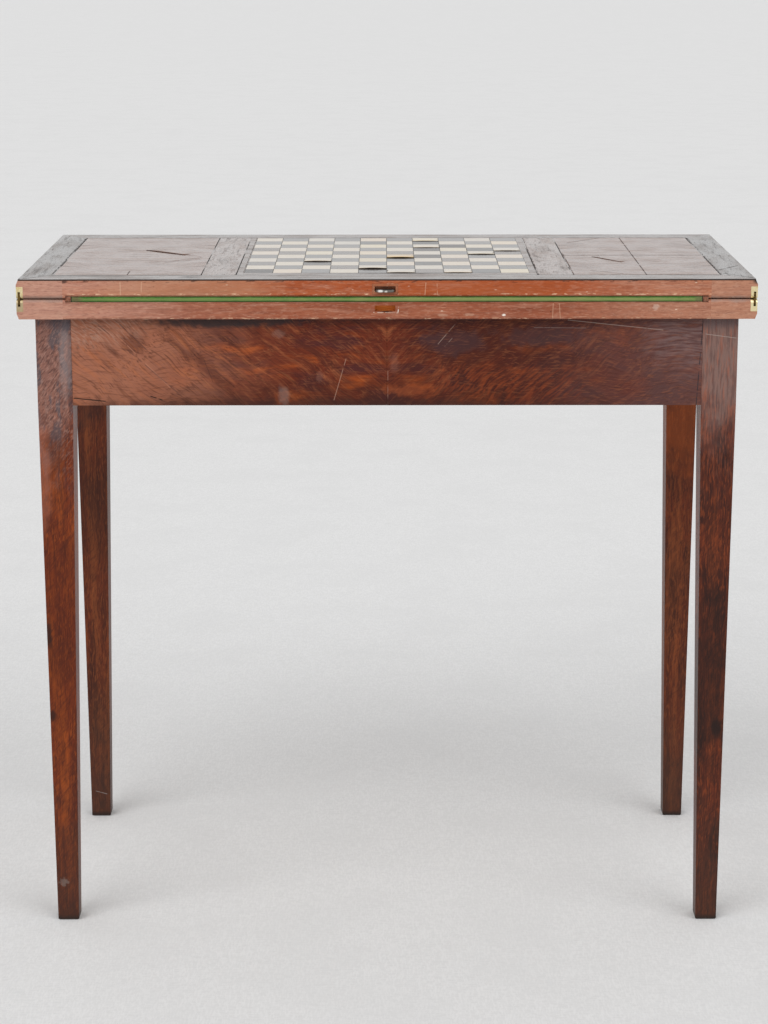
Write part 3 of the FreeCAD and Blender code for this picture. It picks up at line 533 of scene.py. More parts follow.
@dataclass(frozen=True)
class Finish:
    """A material as made: its ground, its gloss and the layers that show in it.

    Attributes:
        name: the material and how its surface was made.
        ground: the colour under all layers.
        roughness: of the bare surface.
        layers: from the lowest to the uppermost.
        metallic: 1 for a metal.
        ior: of what isn't a metal.
        coat: 1 under polish or varnish.
        coat_roughness: of that polish.
        specular: the shader's specular level, lower where open pores swallow the light.
        sheen: of cloth.
        fold: a point about which the grain is mirrored, as in matched veneers.
        sway: how far the grain wanders, and over what length.
    """

    name: str
    ground: str
    roughness: float
    layers: tuple[Layer, ...] = ()
    metallic: float = 0.0
    ior: float = 1.5
    coat: float = 0.0
    coat_roughness: float = 0.2
    specular: float = 0.5
    sheen: float = 0.0
    fold: Numbers | None = None
    sway: tuple[float, float] = (0.0, 60.0)

    def material(self) -> bpy.types.Material:
        """The Blender material, built the first time it is asked for.

        Returns:
            The material under the finish's name.
        """
        known = bpy.data.materials.get(self.name)
        if known is not None:
            return known
        made = bpy.data.materials.new(self.name)
        made.use_nodes = True
        made.diffuse_color = linear(self.ground)
        tree = made.node_tree
        surface = tree.nodes["Principled BSDF"]
        for socket, value in {
            "Metallic": self.metallic, "IOR": self.ior, "Coat Weight": self.coat,
            "Coat Roughness": self.coat_roughness, "Specular IOR Level": self.specular,
            "Sheen Weight": self.sheen, "Sheen Roughness": 0.5, "Roughness": self.roughness,
        }.items():
            surface.inputs[socket].default_value = value
        place, grain = self.positions(tree)
        colour = add(tree, "RGB").outputs[0]
        colour.default_value = linear(self.ground)
        rough = add(tree, "Value").outputs[0]
        rough.default_value = self.roughness
        polish = add(tree, "Value").outputs[0]
        polish.default_value = self.coat
        height = None
        for layer in self.layers:
            mask = layer.mask(tree, place, grain)
            if layer.zone is not None:
                zone = layer.zone.mask(tree, place, place)
                mask = add(tree, "Math", {0: mask, 1: zone}, operation="MULTIPLY")
            share = add(tree, "Math", {0: mask, 1: layer.strength}, operation="MULTIPLY")
            tint = linear(layer.tint)
            colour = add(tree, "Mix", {0: share, 6: colour, 7: tint}, data_type="RGBA").outputs[2]
            if layer.rough:
                rough = add(tree, "Math", {0: mask, 1: layer.rough, 2: rough}, operation="MULTIPLY_ADD")
            if layer.dull and self.coat:
                kept = add(tree, "Math", {0: mask, 1: -layer.dull, 2: 1.0}, operation="MULTIPLY_ADD")
                polish = add(tree, "Math", {0: polish, 1: kept}, operation="MULTIPLY")
            if layer.depth:
                raised = add(tree, "Math", {0: mask, 1: layer.depth}, operation="MULTIPLY")
                if height is not None:
                    raised = add(tree, "Math", {0: raised, 1: height}, operation="ADD")
                height = raised
        tree.links.new(colour, surface.inputs["Base Color"])
        if isinstance(rough, Node):
            tree.links.new(rough.outputs[0], surface.inputs["Roughness"])
        if isinstance(polish, Node):
            tree.links.new(polish.outputs[0], surface.inputs["Coat Weight"])
        if height is not None:
            bump = add(tree, "Bump", {"Height": height, "Distance": MM, "Strength": 1.0})
            tree.links.new(bump.outputs[0], surface.inputs["Normal"])
        return made

    def positions(self, tree: Tree) -> tuple[Socket, Socket]:
        """The position in mm, and the same folded and swayed as the grain is.

        Args:
            tree: the material's tree.

        Returns:
            Both positions as outputs.
        """
        where = add(tree, "TexCoord").outputs["Object"]
        place = add(tree, "VectorMath", {0: where, "Scale": 1 / MM}, operation="SCALE").outputs[0]
        grain = place
        if self.fold is not None:
            off = add(tree, "VectorMath", {0: place, 1: self.fold}, operation="SUBTRACT")
            grain = add(tree, "VectorMath", {0: off}, operation="ABSOLUTE").outputs[0]
        reach, length = self.sway
        if reach:
            cloud = add(tree, "TexNoise", {"Vector": grain, "Scale": 1 / length, "Detail": 1.0})
            swayed = {0: cloud.outputs["Color"], 1: (reach, reach, reach), 2: grain}
            grain = add(tree, "VectorMath", swayed, operation="MULTIPLY_ADD").outputs[0]
        return place, grain


def wood_grain(light: str, dark: str, turn: Turn, figure: float = 1.0, seed: float = 0.0,
               fine: float = 0.6) -> tuple[Layer, ...]:
    """The layers that most cut woods share: broad figure, fibres and open pores.

    Args:
        light: the pale streaks.
        dark: the dark streaks and the pores.
        turn: the way of the grain.
        figure: how strong the broad figure is.
        seed: sets one board off from the next.
        fine: how strong the fibres and pores are.

    Returns:
        Layers from the broad to the fine.
    """
    return (
        *streaks(turn,
            (light, 0.6 * figure, 130, 13, 0.46, 0.64, 5, seed),
            (dark, 0.55 * figure, 95, 9, 0.5, 0.66, 5, seed + 3),
        ),
        # fibres are about 0.2 mm wide and are drawn 1.2 mm wide, so that they show
        *streaks(turn,
            (light, 0.4 * fine, 55, 1.2, 0.48, 0.68, 3, seed + 5),
            (dark, 0.5 * fine, 46, 1.3, 0.48, 0.68, 3, seed + 7),
        ),
        # pores are about 0.15 mm wide and are drawn 0.8 mm wide
        *streaks(turn,
            (dark, 0.7 * fine, 7, 0.8, 0.58, 0.68, 2, seed + 9),
            rough=0.1,
            depth=-0.06,
            dull=0.5,
        ),
    )


# Flame mahogany veneer, French polished: red-brown clouds and slanting fibres, matched about the middle.
# The polish is thin and old, so the wood's own red shows more than its gloss; scratches, bruises and a dark
# stain lie on it. Painted shadow of the leaves lies along its top, a painted grey reflection towards its
# right end, and painted light in its top-left corner.
APRON_VENEER = Finish(
    "Mahogany flame veneer, French polished", "#652815", 0.45, specular=0.16, fold=(0.0, 0.0, 600.0),
    sway=(22.0, 70.0),
    layers=(
        *streaks(Turn.ALONG,
            ("#A24B19", 0.78, 75, 20, 0.5, 0.66, 6, 0),
            ("#3F1E22", 0.7, 85, 26, 0.48, 0.64, 6, 2),
        ),
        Fade("#A06851", 0.88, axis=Axis.X, span=(-95, -290), ragged=0.35, grit=45),
        *streaks(Turn.FLAME,
            ("#4A2219", 0.58, 110, 15, 0.5, 0.66, 6, 4),
            ("#B4683F", 0.42, 90, 7, 0.52, 0.7, 6, 6),
            ("#2C110C", 0.46, 45, 1.5, 0.5, 0.68, 4, 8),
            ("#B06E46", 0.26, 30, 1.4, 0.52, 0.7, 4, 9),
        ),
        *stains(APRON_Y, 60, ("#36140F", 0.7, 130, 655, 150, 90, 0.7, 50)),
        # painted reflection: a grey haze laid over the veneer towards its right end
        Fade("#563C3A", 0.8, axis=Axis.X, span=(120, 330), ragged=0.35, grit=45),
        # the fibres' cross ripple is about 0.5 mm apart and is drawn 1.6 mm apart
        *streaks(Turn.ALONG,
            ("#3E1A12", 0.34, 22, 1.6, 0.5, 0.66, 3, 10),
            ("#A8653F", 0.2, 14, 1.3, 0.54, 0.66, 3, 12),
        ),
        *stains(APRON_Y, 40,
            # painted shadow: the first two rows darken the apron's top, under the leaves' overhang
            ("#2F2B2D", 0.85, -178, 695, 112, 10, 0.5, 9),
            ("#33292A", 0.22, -20, 699, 190, 9, 0.5, 9),
            ("#36211D", 0.7, -60, 598, 420, 15, 0.5, 14),
        ),
        *stains(APRON_Y, 60, ("#35160E", 0.4, -40, 604, 330, 34, 0.3, 30)),
        # painted light: fine pale streaks brighten the top-left corner, which the leaves' overhang shades
        *streaks(Turn.FLAME,
            ("#B4917F", 0.42, 22, 1.7, 0.42, 0.64, 5, 14),
            zone=Patch(middle=(-328, APRON_Y, 694), reach=(90, 60, 40), ragged=0.3),
        ),
        # painted reflection: grey streaks in the top-right corner
        *streaks(Turn.ALONG,
            ("#8A7472", 0.42, 24, 2, 0.34, 0.66, 5, 16),
            zone=Patch(middle=(334, APRON_Y, 688), reach=(76, 60, 72), ragged=0.3),
        ),
        *stains(APRON_Y, 40,
            ("#4B4248", 0.22, 72, 672, 52, 18, 0.9, 12),
            ("#4A4145", 0.22, 170, 676, 66, 16, 0.9, 12),
            ("#8F8884", 0.24, -112.5, 613, 8, 14, 0.5, 8),
            ("#9A7F74", 0.22, -118, 681, 9, 6, 0.5, 6),
            ("#94695A", 0.22, -73, 634, 6, 9, 0.5, 6),
            ("#8A5A4C", 0.28, 8, 648, 7, 16, 0.5, 6),
            ("#A0502A", 0.34, 22, 619, 36, 9, 0.9, 9),
        ),
        *streaks(Turn.FLAME,
            ("#A04A20", 0.36, 17, 2.4, 0.4, 0.66, 6, 18),
            zone=Patch(middle=(118, APRON_Y, 628), reach=(124, 60, 30), ragged=0.6),
        ),
        *scratches(APRON_Y,
            ("#C09A85", 0.4, -44.6, 653.1, -57.9, 607.8, 1.2, 0.3),
            ("#B9A79C", 0.42, 196.6, 695.8, 299.9, 684.8, 1.2, 0.3),
            ("#8D7A74", 0.45, 160, 687.6, 216, 687, 1.1, 0.3),
            ("#C7AE9F", 0.34, 55.6, 669.6, 76.1, 693.7, 1.1, 0.47),
            ("#C7AE9F", 0.28, 63, 667, 71, 676, 1.1, 0.44),
            ("#A98576", 0.35, 1, 602, 1, 640, 1.4, 0.42),
            ("#C08468", 0.42, -305, 691, -237, 622, 1.6, 0.4),
            ("#3A2A2C", 0.5, -316, 693, -224, 612, 1.7, 0.42),
            ("#3A2A2C", 0.52, -296, 697, -262, 664, 1.6, 0.4),
            ("#2F1C1A", 0.35, -203, 662, -190, 628, 1.7, 0.42),
        ),
        *scratches(APRON_Y, ("#1C0F0C", 0.9, -342, 610, -308, 606.5, 1.8, 0.4), depth=-0.3),
        *scratches(APRON_Y, ("#23262B", 0.8, 343.4, 697, 338, 600, 1.6, 0.4)),
        *scratches(APRON_Y, ("#1C0F0C", 0.9, -258, 612, -245.9, 607.9, 1.8, 0.4), depth=-0.3),
    ),
)

# The same veneer on the ends and the back, plainer and with fewer marks of use; painted shade darkens it
# towards its top, under the leaves, and it is darker towards its bottom.
RAIL_VENEER = Finish(
    "Mahogany veneer, French polished", "#62301F", 0.45, specular=0.25, sway=(20.0, 80.0),
    layers=(
        *streaks(Turn.ALONG,
            ("#8E4825", 0.55, 90, 22, 0.5, 0.66, 6, 21),
            ("#3F2221", 0.6, 100, 26, 0.48, 0.64, 6, 22),
        ),
    )
    + wood_grain("#99593C", "#38170F", Turn.SLANT, 0.5, 23)
    # painted shade towards the top, under the leaves; darker towards the bottom
    + (Fade("#2C211F", 0.6, span=(684, 699), ragged=0.4, grit=16), Fade("#2C1A16", 0.5, span=(612, 599))),
)


def leg_finish(name: str, ground: str, light: str, dark: str, turn: Turn, mottle: float,
               extra: tuple[Layer, ...]) -> Finish:
    """Mahogany veneered legs: upright or slanting grain, blackened feet and small bruises.

    Args:
        name: what sets this leg apart.
        ground: the mean colour.
        light: pale streaks.
        dark: dark streaks.
        turn: the way of the fine grain.
        mottle: how strong the dark clouds are.
        extra: marks of this leg alone.

    Returns:
        The finish.
    """
    return Finish(
        name, ground, 0.42, specular=0.22, sway=(7.0, 60.0),
        layers=(
            *streaks(Turn.UPRIGHT,
                (light, 0.62, 170, 14, 0.46, 0.64, 6, len(name)),
                (dark, 0.54, 120, 7, 0.48, 0.64, 6, len(name) + 2),
                (dark, mottle, 75, 34, 0.46, 0.62, 6, len(name) + 4),
            ),
        )
        + wood_grain(light, dark, turn, 0.12, len(name), 0.35)
        + (
            # the fibres' ripple and the cracks of the polish are about 0.4 mm wide and are drawn 1.4 mm wide
            *streaks(Turn.UPRIGHT,
                (dark, 0.52, 16, 1.4, 0.5, 0.64, 4, len(name) + 11),
                (light, 0.46, 11, 1.5, 0.5, 0.66, 4, len(name) + 12),
            ),
            *streaks(Turn.CRACKLE, (dark, 0.34, 13, 1.4, 0.52, 0.64, 4, len(name) + 13)),
            Specks("#9C7868", 0.5, size=1.1, pitch=26, share=0.25, stretch=(1, 1, 2)),
            Fade("#14100F", 0.9, span=(8, 2.5), ragged=0.3, grit=6),
        )
        + extra,
    )


# Veneer crackled on the slant at the head, with a blue-black bloom beside the rail, painted shade at its top
# under the leaves, and chalky scuffs at the foot.
HEAD = Fade(span=(470, 600), ragged=0.3, grit=40)
FOOT = Fade("#33261F", 0.62, span=(230, 10), ragged=0.3, grit=30)
LEG_SLANTED = leg_finish(
    "Mahogany leg, slanting veneer, French polished", "#6F2C0F", "#A04C16", "#37130B", Turn.CRACKLE, 0.40,
    (
        *streaks(Turn.CRACKLE, ("#4A1F12", 0.4, 60, 5, 0.52, 0.66, 5, 68)),
        FOOT,
        *stains(APRON_Y, 60,
            ("#4A1A07", 0.42, -366, 345, 60, 150, 0.5, 30),
            ("#8A665C", 0.72, -370, 652, 40, 135, 0.4, 30),
        ),
        *streaks(Turn.CRACKLE, ("#402624", 0.6, 7, 1.6, 0.48, 0.6, 4, 70), zone=HEAD),
        *streaks(Turn.UPRIGHT, ("#4C4A50", 0.7, 34, 11, 0.5, 0.6, 5, 77), zone=HEAD),
        *streaks(Turn.CRACKLE, ("#B98F80", 0.34, 5.5, 1.3, 0.52, 0.64, 3, 71), zone=HEAD),
        *stains(APRON_Y, 40,
            ("#352C31", 0.35, -345.5, 640, 5, 70, 0.5, 12),
            ("#A08D89", 0.36, -350, 655, 10, 60, 0.6, 6),
            # painted shade: blue-grey at the very top of the leg, under the leaves' overhang
            ("#46424A", 0.65, -354, 694, 24, 13, 0.5, 9),
            ("#3A1C16", 0.3, -366, 548, 16, 34, 0.5, 10),
        ),
        *scratches(-186, ("#2B1310", 0.7, -379, 470, -349, 488, 1.7, 0.4)),
        *scratches(-184, ("#2B1310", 0.7, -378, 362, -350, 372, 1.7, 0.4)),
        *scratches(-183, ("#C08462", 0.6, -360, 252, -352, 276, 1.6, 0.35)),
        *scratches(-184,
            ("#B5AFA8", 0.75, -375, 74, -357, 66, 1.2, 0.36),
            ("#B5B0AB", 0.8, -374, 20, -356, 36, 1.3, 0.34),
            ("#B5B0AB", 0.7, -376, 50, -368, 44, 1.2, 0.3),
        ),
        *stains(APRON_Y, 60, ("#B06A50", 0.36, -380, 525, 13, 90, 0.4, 14)),
        *stains(-184, 12,
            ("#1E1210", 0.75, -379, 342, 7, 24, 0.5, 6),
            ("#1E1210", 0.75, -376, 245, 6, 9, 0.5, 6),
            ("#8E8680", 0.3, -370, 46, 7, 6, 0.9, 3),
        ),
    ),
)
# Straight-grained leg, clouded black and red, greyer at its head, with painted shade at its very top under
# the leaves.
LEG_CLOUDED = leg_finish(
    "Mahogany leg, clouded veneer, French polished", "#5A2513", "#92451F", "#200F0D", Turn.UPRIGHT, 0.58,
    (
        FOOT,
        *stains(APRON_Y, 60, ("#856A62", 0.8, 366, 662, 44, 135, 0.4, 30)),
        *streaks(Turn.UPRIGHT,
            ("#97563F", 0.5, 22, 2.2, 0.5, 0.64, 4, 69),
            ("#432A2B", 0.44, 22, 1.8, 0.46, 0.62, 4, 72),
            zone=HEAD,
        ),
        # painted shade at the very top of the leg, under the leaves' overhang
        *stains(APRON_Y, 60, ("#5A4D50", 0.6, 364, 697, 40, 14, 0.4, 16)),
        *stains(APRON_Y, 40, ("#1E1311", 0.8, 371, 232, 9, 16, 0.5, 8)),
        *stains(APRON_Y, 60, ("#22130F", 0.66, 362, 292, 34, 150, 0.6, 22)),
        *scratches(APRON_Y, ("#A79A92", 0.6, 346.8, 680.3, 379.5, 675.9, 1.1, 0.4)),
        *scratches(-184, ("#B8806A", 0.6, 354, 70, 374, 52, 1.1, 0.42)),
    ),
)
# The rear legs, brown and even; the right one is clouded above its middle, and the left one has painted shade
# at its top, under the rails.
LEG_PLAIN = leg_finish(
    "Mahogany leg, straight veneer, French polished", "#642C16", "#8A4A26", "#2E1510", Turn.UPRIGHT, 0.38,
    (
        FOOT,
        *stains(150, 60, ("#33180F", 0.35, -366, 400, 60, 120, 0.6, 24)),
        *scratches(161, ("#A9A39F", 0.6, -372, 34, -358, 30, 1.2, 0.42)),
        *stains(150, 60,
            ("#94471A", 0.46, 366, 530, 60, 90, 0.8, 24),
            # painted shade at the top of the rear-left leg, under the rails
            ("#3A201B", 0.65, -366, 580, 60, 90, 0.6, 20),
        ),
    ),
)
# The same wood where it is rubbed dark along the corners of the legs.
LEG_ARRIS = Finish(
    "Mahogany arris, darkened by handling", "#2B1917", 0.5, specular=0.2,
    layers=(
        *streaks(Turn.UPRIGHT, ("#7A4A35", 0.8, 30, 6, 0.55, 0.62, 4, 75)),
        Specks("#B98E74", 0.8, size=1.6, pitch=17, share=0.4, stretch=(1, 1, 2)),
    ),
)

# The hinge edge, which hands and light have faded, and the two faces that lie shut together and have kept
# their colour.
FRONT = Fade(axis=Axis.Y, span=(-191, -198), ragged=0.1)
INSIDE = Patch("#7C3F28", 0.8, middle=(0, 20, 720.3), reach=(2000, 216, 2.6), ragged=0.15, grit=60)

# Dye and fluff of the baize rubbed into the arris under its roll, darkened further as painted shade below the
# roll.
ROLL_SHADE_AND_DYE = Scratch(
    "#43421E", 0.85, start=(-345, EDGE_Y, 719.1), end=(345, EDGE_Y, 719.1), width=2.9, broken=0.32,
)


def leaf_edges(light: str, dark: str, seed: float) -> tuple[Layer, ...]:
    """What the waxed edges of the leaves share: grain, pink-grey ends, knocks along the arrises.

    Args:
        light: pale streaks.
        dark: dark streaks.
        seed: sets one board off from the next.

    Returns:
        The layers.
    """
    return (
        Fade("#BD8E7C", 0.85, axis=Axis.X, span=(-110, -360), ragged=0.3, grit=60, zone=FRONT),
        Fade("#B28068", 0.68, axis=Axis.X, span=(160, 330), ragged=0.3, grit=60, zone=FRONT),
        INSIDE,
    ) + wood_grain(light, dark, Turn.ALONG, 0.5, seed, 0.55) + (
        *streaks(Turn.ALONG,
            ("#5E2D20", 0.2, 7, 2, 0.5, 0.64, 5, seed + 46),
            ("#DDB49C", 0.15, 7, 2.2, 0.5, 0.66, 5, seed + 48),
            ("#D8A98C", 0.26, 11, 1, 0.58, 0.7, 3, seed + 40),
            ("#C79C86", 0.26, 60, 6, 0.52, 0.7, 6, seed + 44),
        ),
        Specks("#E6CBB4", 0.75, size=1.2, pitch=13, share=0.24, stretch=(1.5, 1, 0.6)),
        Specks("#4A2318", 0.65, size=1.1, pitch=11, share=0.2),
    )


# Mahogany boards, planed and waxed: orange-brown edges, redder in the middle, paler where hands have worn
# them.
UPPER_LEAF_WOOD = Finish(
    "Mahogany board, planed and waxed", "#A04B23", 0.55, specular=0.25, sway=(3.0, 80.0),
    layers=leaf_edges("#C0714A", "#74351F", 31.0) + (
        *stains(EDGE_Y, 40,
            ("#B58262", 0.5, -215, 731, 120, 30, 0.5, 40),
            ("#A34E20", 0.45, 95, 731, 170, 30, 0.4, 30),
        ),
        *scratches(EDGE_Y,
            ("#D9B294", 0.5, -287.5, 725, -287.5, 739, 1.4, 0.4),
            ("#D9B294", 0.45, -265, 727, -264.5, 739, 1.4, 0.42),
            ("#D9B294", 0.45, 41, 725, 42, 738, 1.4, 0.38),
            ("#D9B294", 0.35, 54.5, 725, 54, 737, 1.4, 0.42),
        ),
        *stains(EDGE_Y, 14, ("#2E1E1C", 0.75, -349, 739.8, 7, 3, 0.3, 4)),
        Fade("#DDB79C", 0.45, span=(722.4, 721), ragged=0.9, grit=7, zone=FRONT),
        *streaks(Turn.ALONG,
            ("#E8C4A2", 0.62, 7, 1.8, 0.54, 0.64, 4, 84),
            zone=Patch(middle=(0, EDGE_Y, 725.4), reach=(900, 9, 1.8), ragged=0.3, grit=9),
        ),
        *streaks(Turn.ALONG,
            ("#2E1B16", 0.66, 9, 1.8, 0.54, 0.62, 4, 85),
            zone=Patch(middle=(0, EDGE_Y, 740), reach=(900, 9, 2.4), ragged=0.3, grit=9),
        ),
        # hide glue and dirt, seen in the joints of the inlay
        Fade("#120C0A", 0.97, rough=0.4, span=(740.2, 740.6), ragged=0.05),
    ),
)
# The lower board, a shade darker and browner, with the baize's dye and painted shade along its upper arris.
LOWER_LEAF_WOOD = Finish(
    "Mahogany board, planed and waxed, under", "#934F35", 0.55, specular=0.25, sway=(3.0, 80.0),
    layers=leaf_edges("#B57153", "#673222", 35.0) + (
        # painted shade under the roll, with the baize's dye
        ROLL_SHADE_AND_DYE,
        *scratches(EDGE_Y,
            ("#D9B294", 0.34, 179, 699, 179.6, 718, 1.5, 0.36),
            ("#D9B294", 0.34, 187.4, 699, 185.9, 718, 1.3, 0.36),
        ),
        # the mortise: fresh orange wood inside, painted bright as if lit; splintered, with painted shade at
        # its lower lip
        *stains(-189, 10.8, ("#F2A04C", 1, -2, 711, 26, 12, 0.1, 3)),
        *stains(-198.6, 4, ("#22130E", 0.9, -1, 707, 9, 1.6, 0.8, 2.5)),
        *scratches(EDGE_Y,
            ("#EDE2D6", 0.75, 12, 706.5, 12.8, 712, 1.5, 0.42),
            ("#E0CDBC", 0.7, -14.5, 706, 12, 705.4, 1.2, 0.42),
        ),
        *stains(EDGE_Y, 9,
            ("#F3EADF", 0.9, 126.5, 703, 2.8, 1.6, 0.5, 1.5),
            ("#D8B79E", 0.28, 60, 703, 7, 2.2, 0.5, 3),
            ("#D8B79E", 0.28, 89, 703.5, 8, 2, 0.5, 3),
            ("#D9C5B6", 0.34, 290.5, 711.6, 4, 4, 0.9, 3),
        ),
        # painted shade: darker along the lower leaf's bottom arris
        Fade("#5C3023", 0.55, span=(700.4, 699), ragged=0.9, grit=7),
        *streaks(Turn.ALONG,
            ("#E0B898", 0.6, 8, 1.6, 0.55, 0.66, 4, 86),
            zone=Patch(middle=(0, EDGE_Y, 699.3), reach=(900, 9, 1.7), ragged=0.3, grit=9),
        ),
    ),
)
# The clamps were cut from a paler, greyer board; the grey band beside the gap is a painted reflection on the
# rounded arrises there.
CLAMP_WOOD = Finish(
    "Mahogany clamp, planed and waxed", "#A26449", 0.58, specular=0.25, sway=(2.0, 60.0),
    layers=leaf_edges("#BF8A6E", "#764334", 51.0) + (
        # painted reflection: grey band along the rounded arrises beside the gap
        *stains(EDGE_Y, 7, ("#9A8176", 0.85, 0, 720.3, 900, 5, 0.35, 12)),
        *stains(EDGE_Y, 12, ("#2A2321", 0.95, 401, 741, 9, 6, 0.3, 4)),
        Fade("#120C0A", 0.97, rough=0.4, span=(740.2, 740.6), ragged=0.05),
    ),
)
# The wood along the edges' corners, rubbed pale.
WORN_ARRIS = Finish(
    "Mahogany arris, rubbed pale", "#9C5F45", 0.6, specular=0.25,
    layers=(
        *streaks(Turn.ALONG,
            ("#E2BC9F", 0.8, 11, 4, 0.54, 0.62, 4, 76),
            ("#5A2C1E", 0.75, 40, 6, 0.54, 0.6, 4, 78),
        ),
        # painted shade under the roll, with the baize's dye
        ROLL_SHADE_AND_DYE,
    ),
)
# Hardwood block round the tongue, let in flush; the slot round the tongue is painted dark as shade.
PATCH_WOOD = Finish(
    "Hardwood patch, waxed", "#A0603F", 0.55, specular=0.25,
    layers=wood_grain("#B98064", "#6B3826", Turn.ALONG, 0.6, 61) + (
        # painted shade inside the slot round the tongue
        *stains(-198, 5, ("#1D1310", 0.9, -2, 730.4, 12.5, 4.4, 0.2, 3)),
    ),
)


def top_finish(name: str, ground: str, light: str, dark: str, turn: Turn, extra: tuple[Layer, ...] = (),
               fold: Numbers | None = None, sway: float = 10.0) -> Finish:
    """Veneers of the upper face under worn French polish, which mirrors a pale room at a low angle.

    Args:
        name: the veneer and its cut.
        ground: the mean colour.
        light: pale streaks.
        dark: dark streaks.
        turn: the way of the grain.
        extra: marks of this piece alone.
        fold: where matched sheets mirror each other.
        sway: how far the grain wanders, in mm.

    Returns:
        The finish.
    """
    return Finish(
        name, ground, 0.34, coat=1.0, coat_roughness=0.13, fold=fold, sway=(sway, 90.0),
        layers=wood_grain(light, dark, turn, 0.8, len(name)) + (
            # veneer shrinks along its fibres into low ripples
            *streaks(turn, (dark, 0.1, 110, 16, 0.3, 0.7, 1, 70), depth=0.25),
            *streaks(turn, ("#8D7A6C", 0.25, 80, 26, 0.44, 0.66, 6, 71), rough=0.12, dull=0.34),
            *streaks(turn, (dark, 0.55, 60, 5, 0.54, 0.68, 6, 73), dull=0.55),
            *streaks(turn, (dark, 0.6, 26, 2, 0.62, 0.68, 3, 74), dull=0.85),
            Specks("#2B1D18", 0.7, dull=0.8, size=1.6, pitch=21, share=0.25, stretch=(1.5, 1, 1)),
        ) + extra,
    )


# old dirt and polish in the joints of the upper face
DIRT = "#140D0B"

# Walnut crossbanding, brown under its gloss, with open joints towards the panels.
BORDER_LONG = top_finish(
    "Walnut crossbanding, French polished", "#5E4A42", "#7C675C", "#33241E", Turn.ALONG,
    (
        *dirty_joints(
            (-364, -167.2, -203, -167.2, 4, 0.9, 0.3),
            (203, -167.2, 364, -167.2, 4, 0.7, 0.46),
            (-370, 167, 370, 167, 4, 0.6, 0.46),
        ),
        *stains(-182, 7, (DIRT, 0.8, -214, TOP_Z, 16, 20, 0.6, 8), dull=0.8),
        # the edge of the crossbanding, darker along its last half millimetre
        Fade("#241712", 0.9, rough=0.2, dull=1, axis=Axis.Y, span=(-199.2, -199.7), ragged=0.1),
    ),
)
# The same at the ends, darker and greyer, with splits that run into the corners.
BORDER_END = top_finish(
    "Walnut crossbanding at the ends, French polished", "#4B3F3A", "#62534B", "#2C211D", Turn.ACROSS,
    (
        *dirty_joints(
            (-365.4, -166, -365.4, 166, 2.4, 0.9, 0.46),
            (365, -166, 365, 166, 2, 0.7, 0.5),
            (366, -130, 392, -92, 3, 0.7, 0.42),
            (366, -150, 398, -196, 2.6, 0.6, 0.4),
            (-366, -168, -398, -198, 2.6, 0.7, 0.4),
        ),
        Fade("#241712", 0.9, rough=0.2, dull=1, axis=Axis.Y, span=(-199.2, -199.7), ragged=0.1),
    ),
)
# Mahogany sheets mirrored about their joint: pink-brown under the gloss and crossed by dark splits.
PANEL_LEFT = top_finish(
    "Mahogany panel, matched sheets, French polished", "#8C695B", "#A27C68", "#4A2A1E", Turn.SPREAD,
    (
        *dirty_joints(
            (-234, 5, -214, -8, 1.8, 0.6, 0.3),
            (-246, -50, -212, -19, 2.6, 0.55, 0.2),
            (-250, -62, -213, -32, 2.4, 0.5, 0.3),
            (-268, -60, -236, -44, 1.8, 0.4, 0.35),
            (-300, 42, -262, 44, 1.8, 0.5, 0.4),
            (-283.25, -165, -283.25, -135, 1.8, 0.8, 0.3),
        ),
    ),
    fold=(-283.25, 0.0, TOP_Z),
)
# The right panel, a little browner, with open joints along its middle, across it and beside the strip.
PANEL_RIGHT = top_finish(
    "Mahogany panel, matched sheets, right, French polished", "#835F50", "#A27C68", "#4A2A1E", Turn.SPREAD,
    (
        *dirty_joints(
            (217, 118, 258, 163, 2.6, 0.8, 0.2),
            (283.25, -165, 283.25, 165, 1.8, 0.9, 0.4),
            (204.5, 0, 362, 0, 3.6, 0.8, 0.36),
            (204, -165, 204, 20, 1.8, 0.8, 0.42),
            (225, -130, 262, -160, 2.2, 0.7, 0.35),
        ),
    ),
    fold=(283.25, 0.0, TOP_Z),
)
# Burr: small dark eyes and pale curls close together.
STRIP_BURR = top_finish(
    "Burr veneer strip, French polished", "#8A7166", "#977A6C", "#3E2A22", Turn.ACROSS,
    (
        Specks("#3A251D", 0.7, dull=0.34, size=2.8, pitch=6.5, share=0.55),
        Specks("#A08577", 0.5, size=2.4, pitch=7.5, share=0.4, stretch=(1, 1.4, 1)),
        *dirty_joints((165.6, -165, 165.6, 165, 1.8, 0.8, 0.48)),
    ),
    sway=22.0,
)
# The raised front side of a lifted square or split sheet, painted dark as the shade under it.
LIFTED_EDGE_SHADE = Finish(
    "Lifted veneer edge, painted shade", "#1A1210", 0.9, specular=0.1,
    layers=streaks(Turn.ALONG, ("#4A372C", 0.6, 9, 2, 0.5, 0.62, 3, 79)),
)
# Stringing of dyed wood: polished over in places, and sunk and dull where the polish has cracked.
STRING_WOOD = Finish(
    "Dyed stringing, rubbed", "#5A4940", 0.34, coat=1.0, coat_roughness=0.13,
    layers=(
        *streaks(Turn.ALONG, ("#120C0A", 0.95, 170, 120, 0.42, 0.52, 4, 82), rough=0.45, dull=1),
        *stains(-166, 3, ("#120C0A", 0.95, 0, TOP_Z, 420, 9, 0.2, 14), rough=0.45, dull=1),
    ),
)
# Narrow bands round the board, straight and dark; the one before it carries a painted shadow line in its
# middle, where the board's front edge has lifted.
BAND_WOOD = top_finish(
    "Walnut bands, French polished", "#6E564A", "#8F7868", "#2C1E19", Turn.ALONG,
    (
        # painted shadow of the lifted front edge of the board
        *stains(-151.5, 6, ("#1A100D", 0.85, 10, TOP_Z, 150, 20, 0.5, 18), dull=0.75),
        *dirty_joints((-157.4, -148, -157.4, 164, 1.2, 0.7, 0.46)),
    ),
    sway=4.0,
)


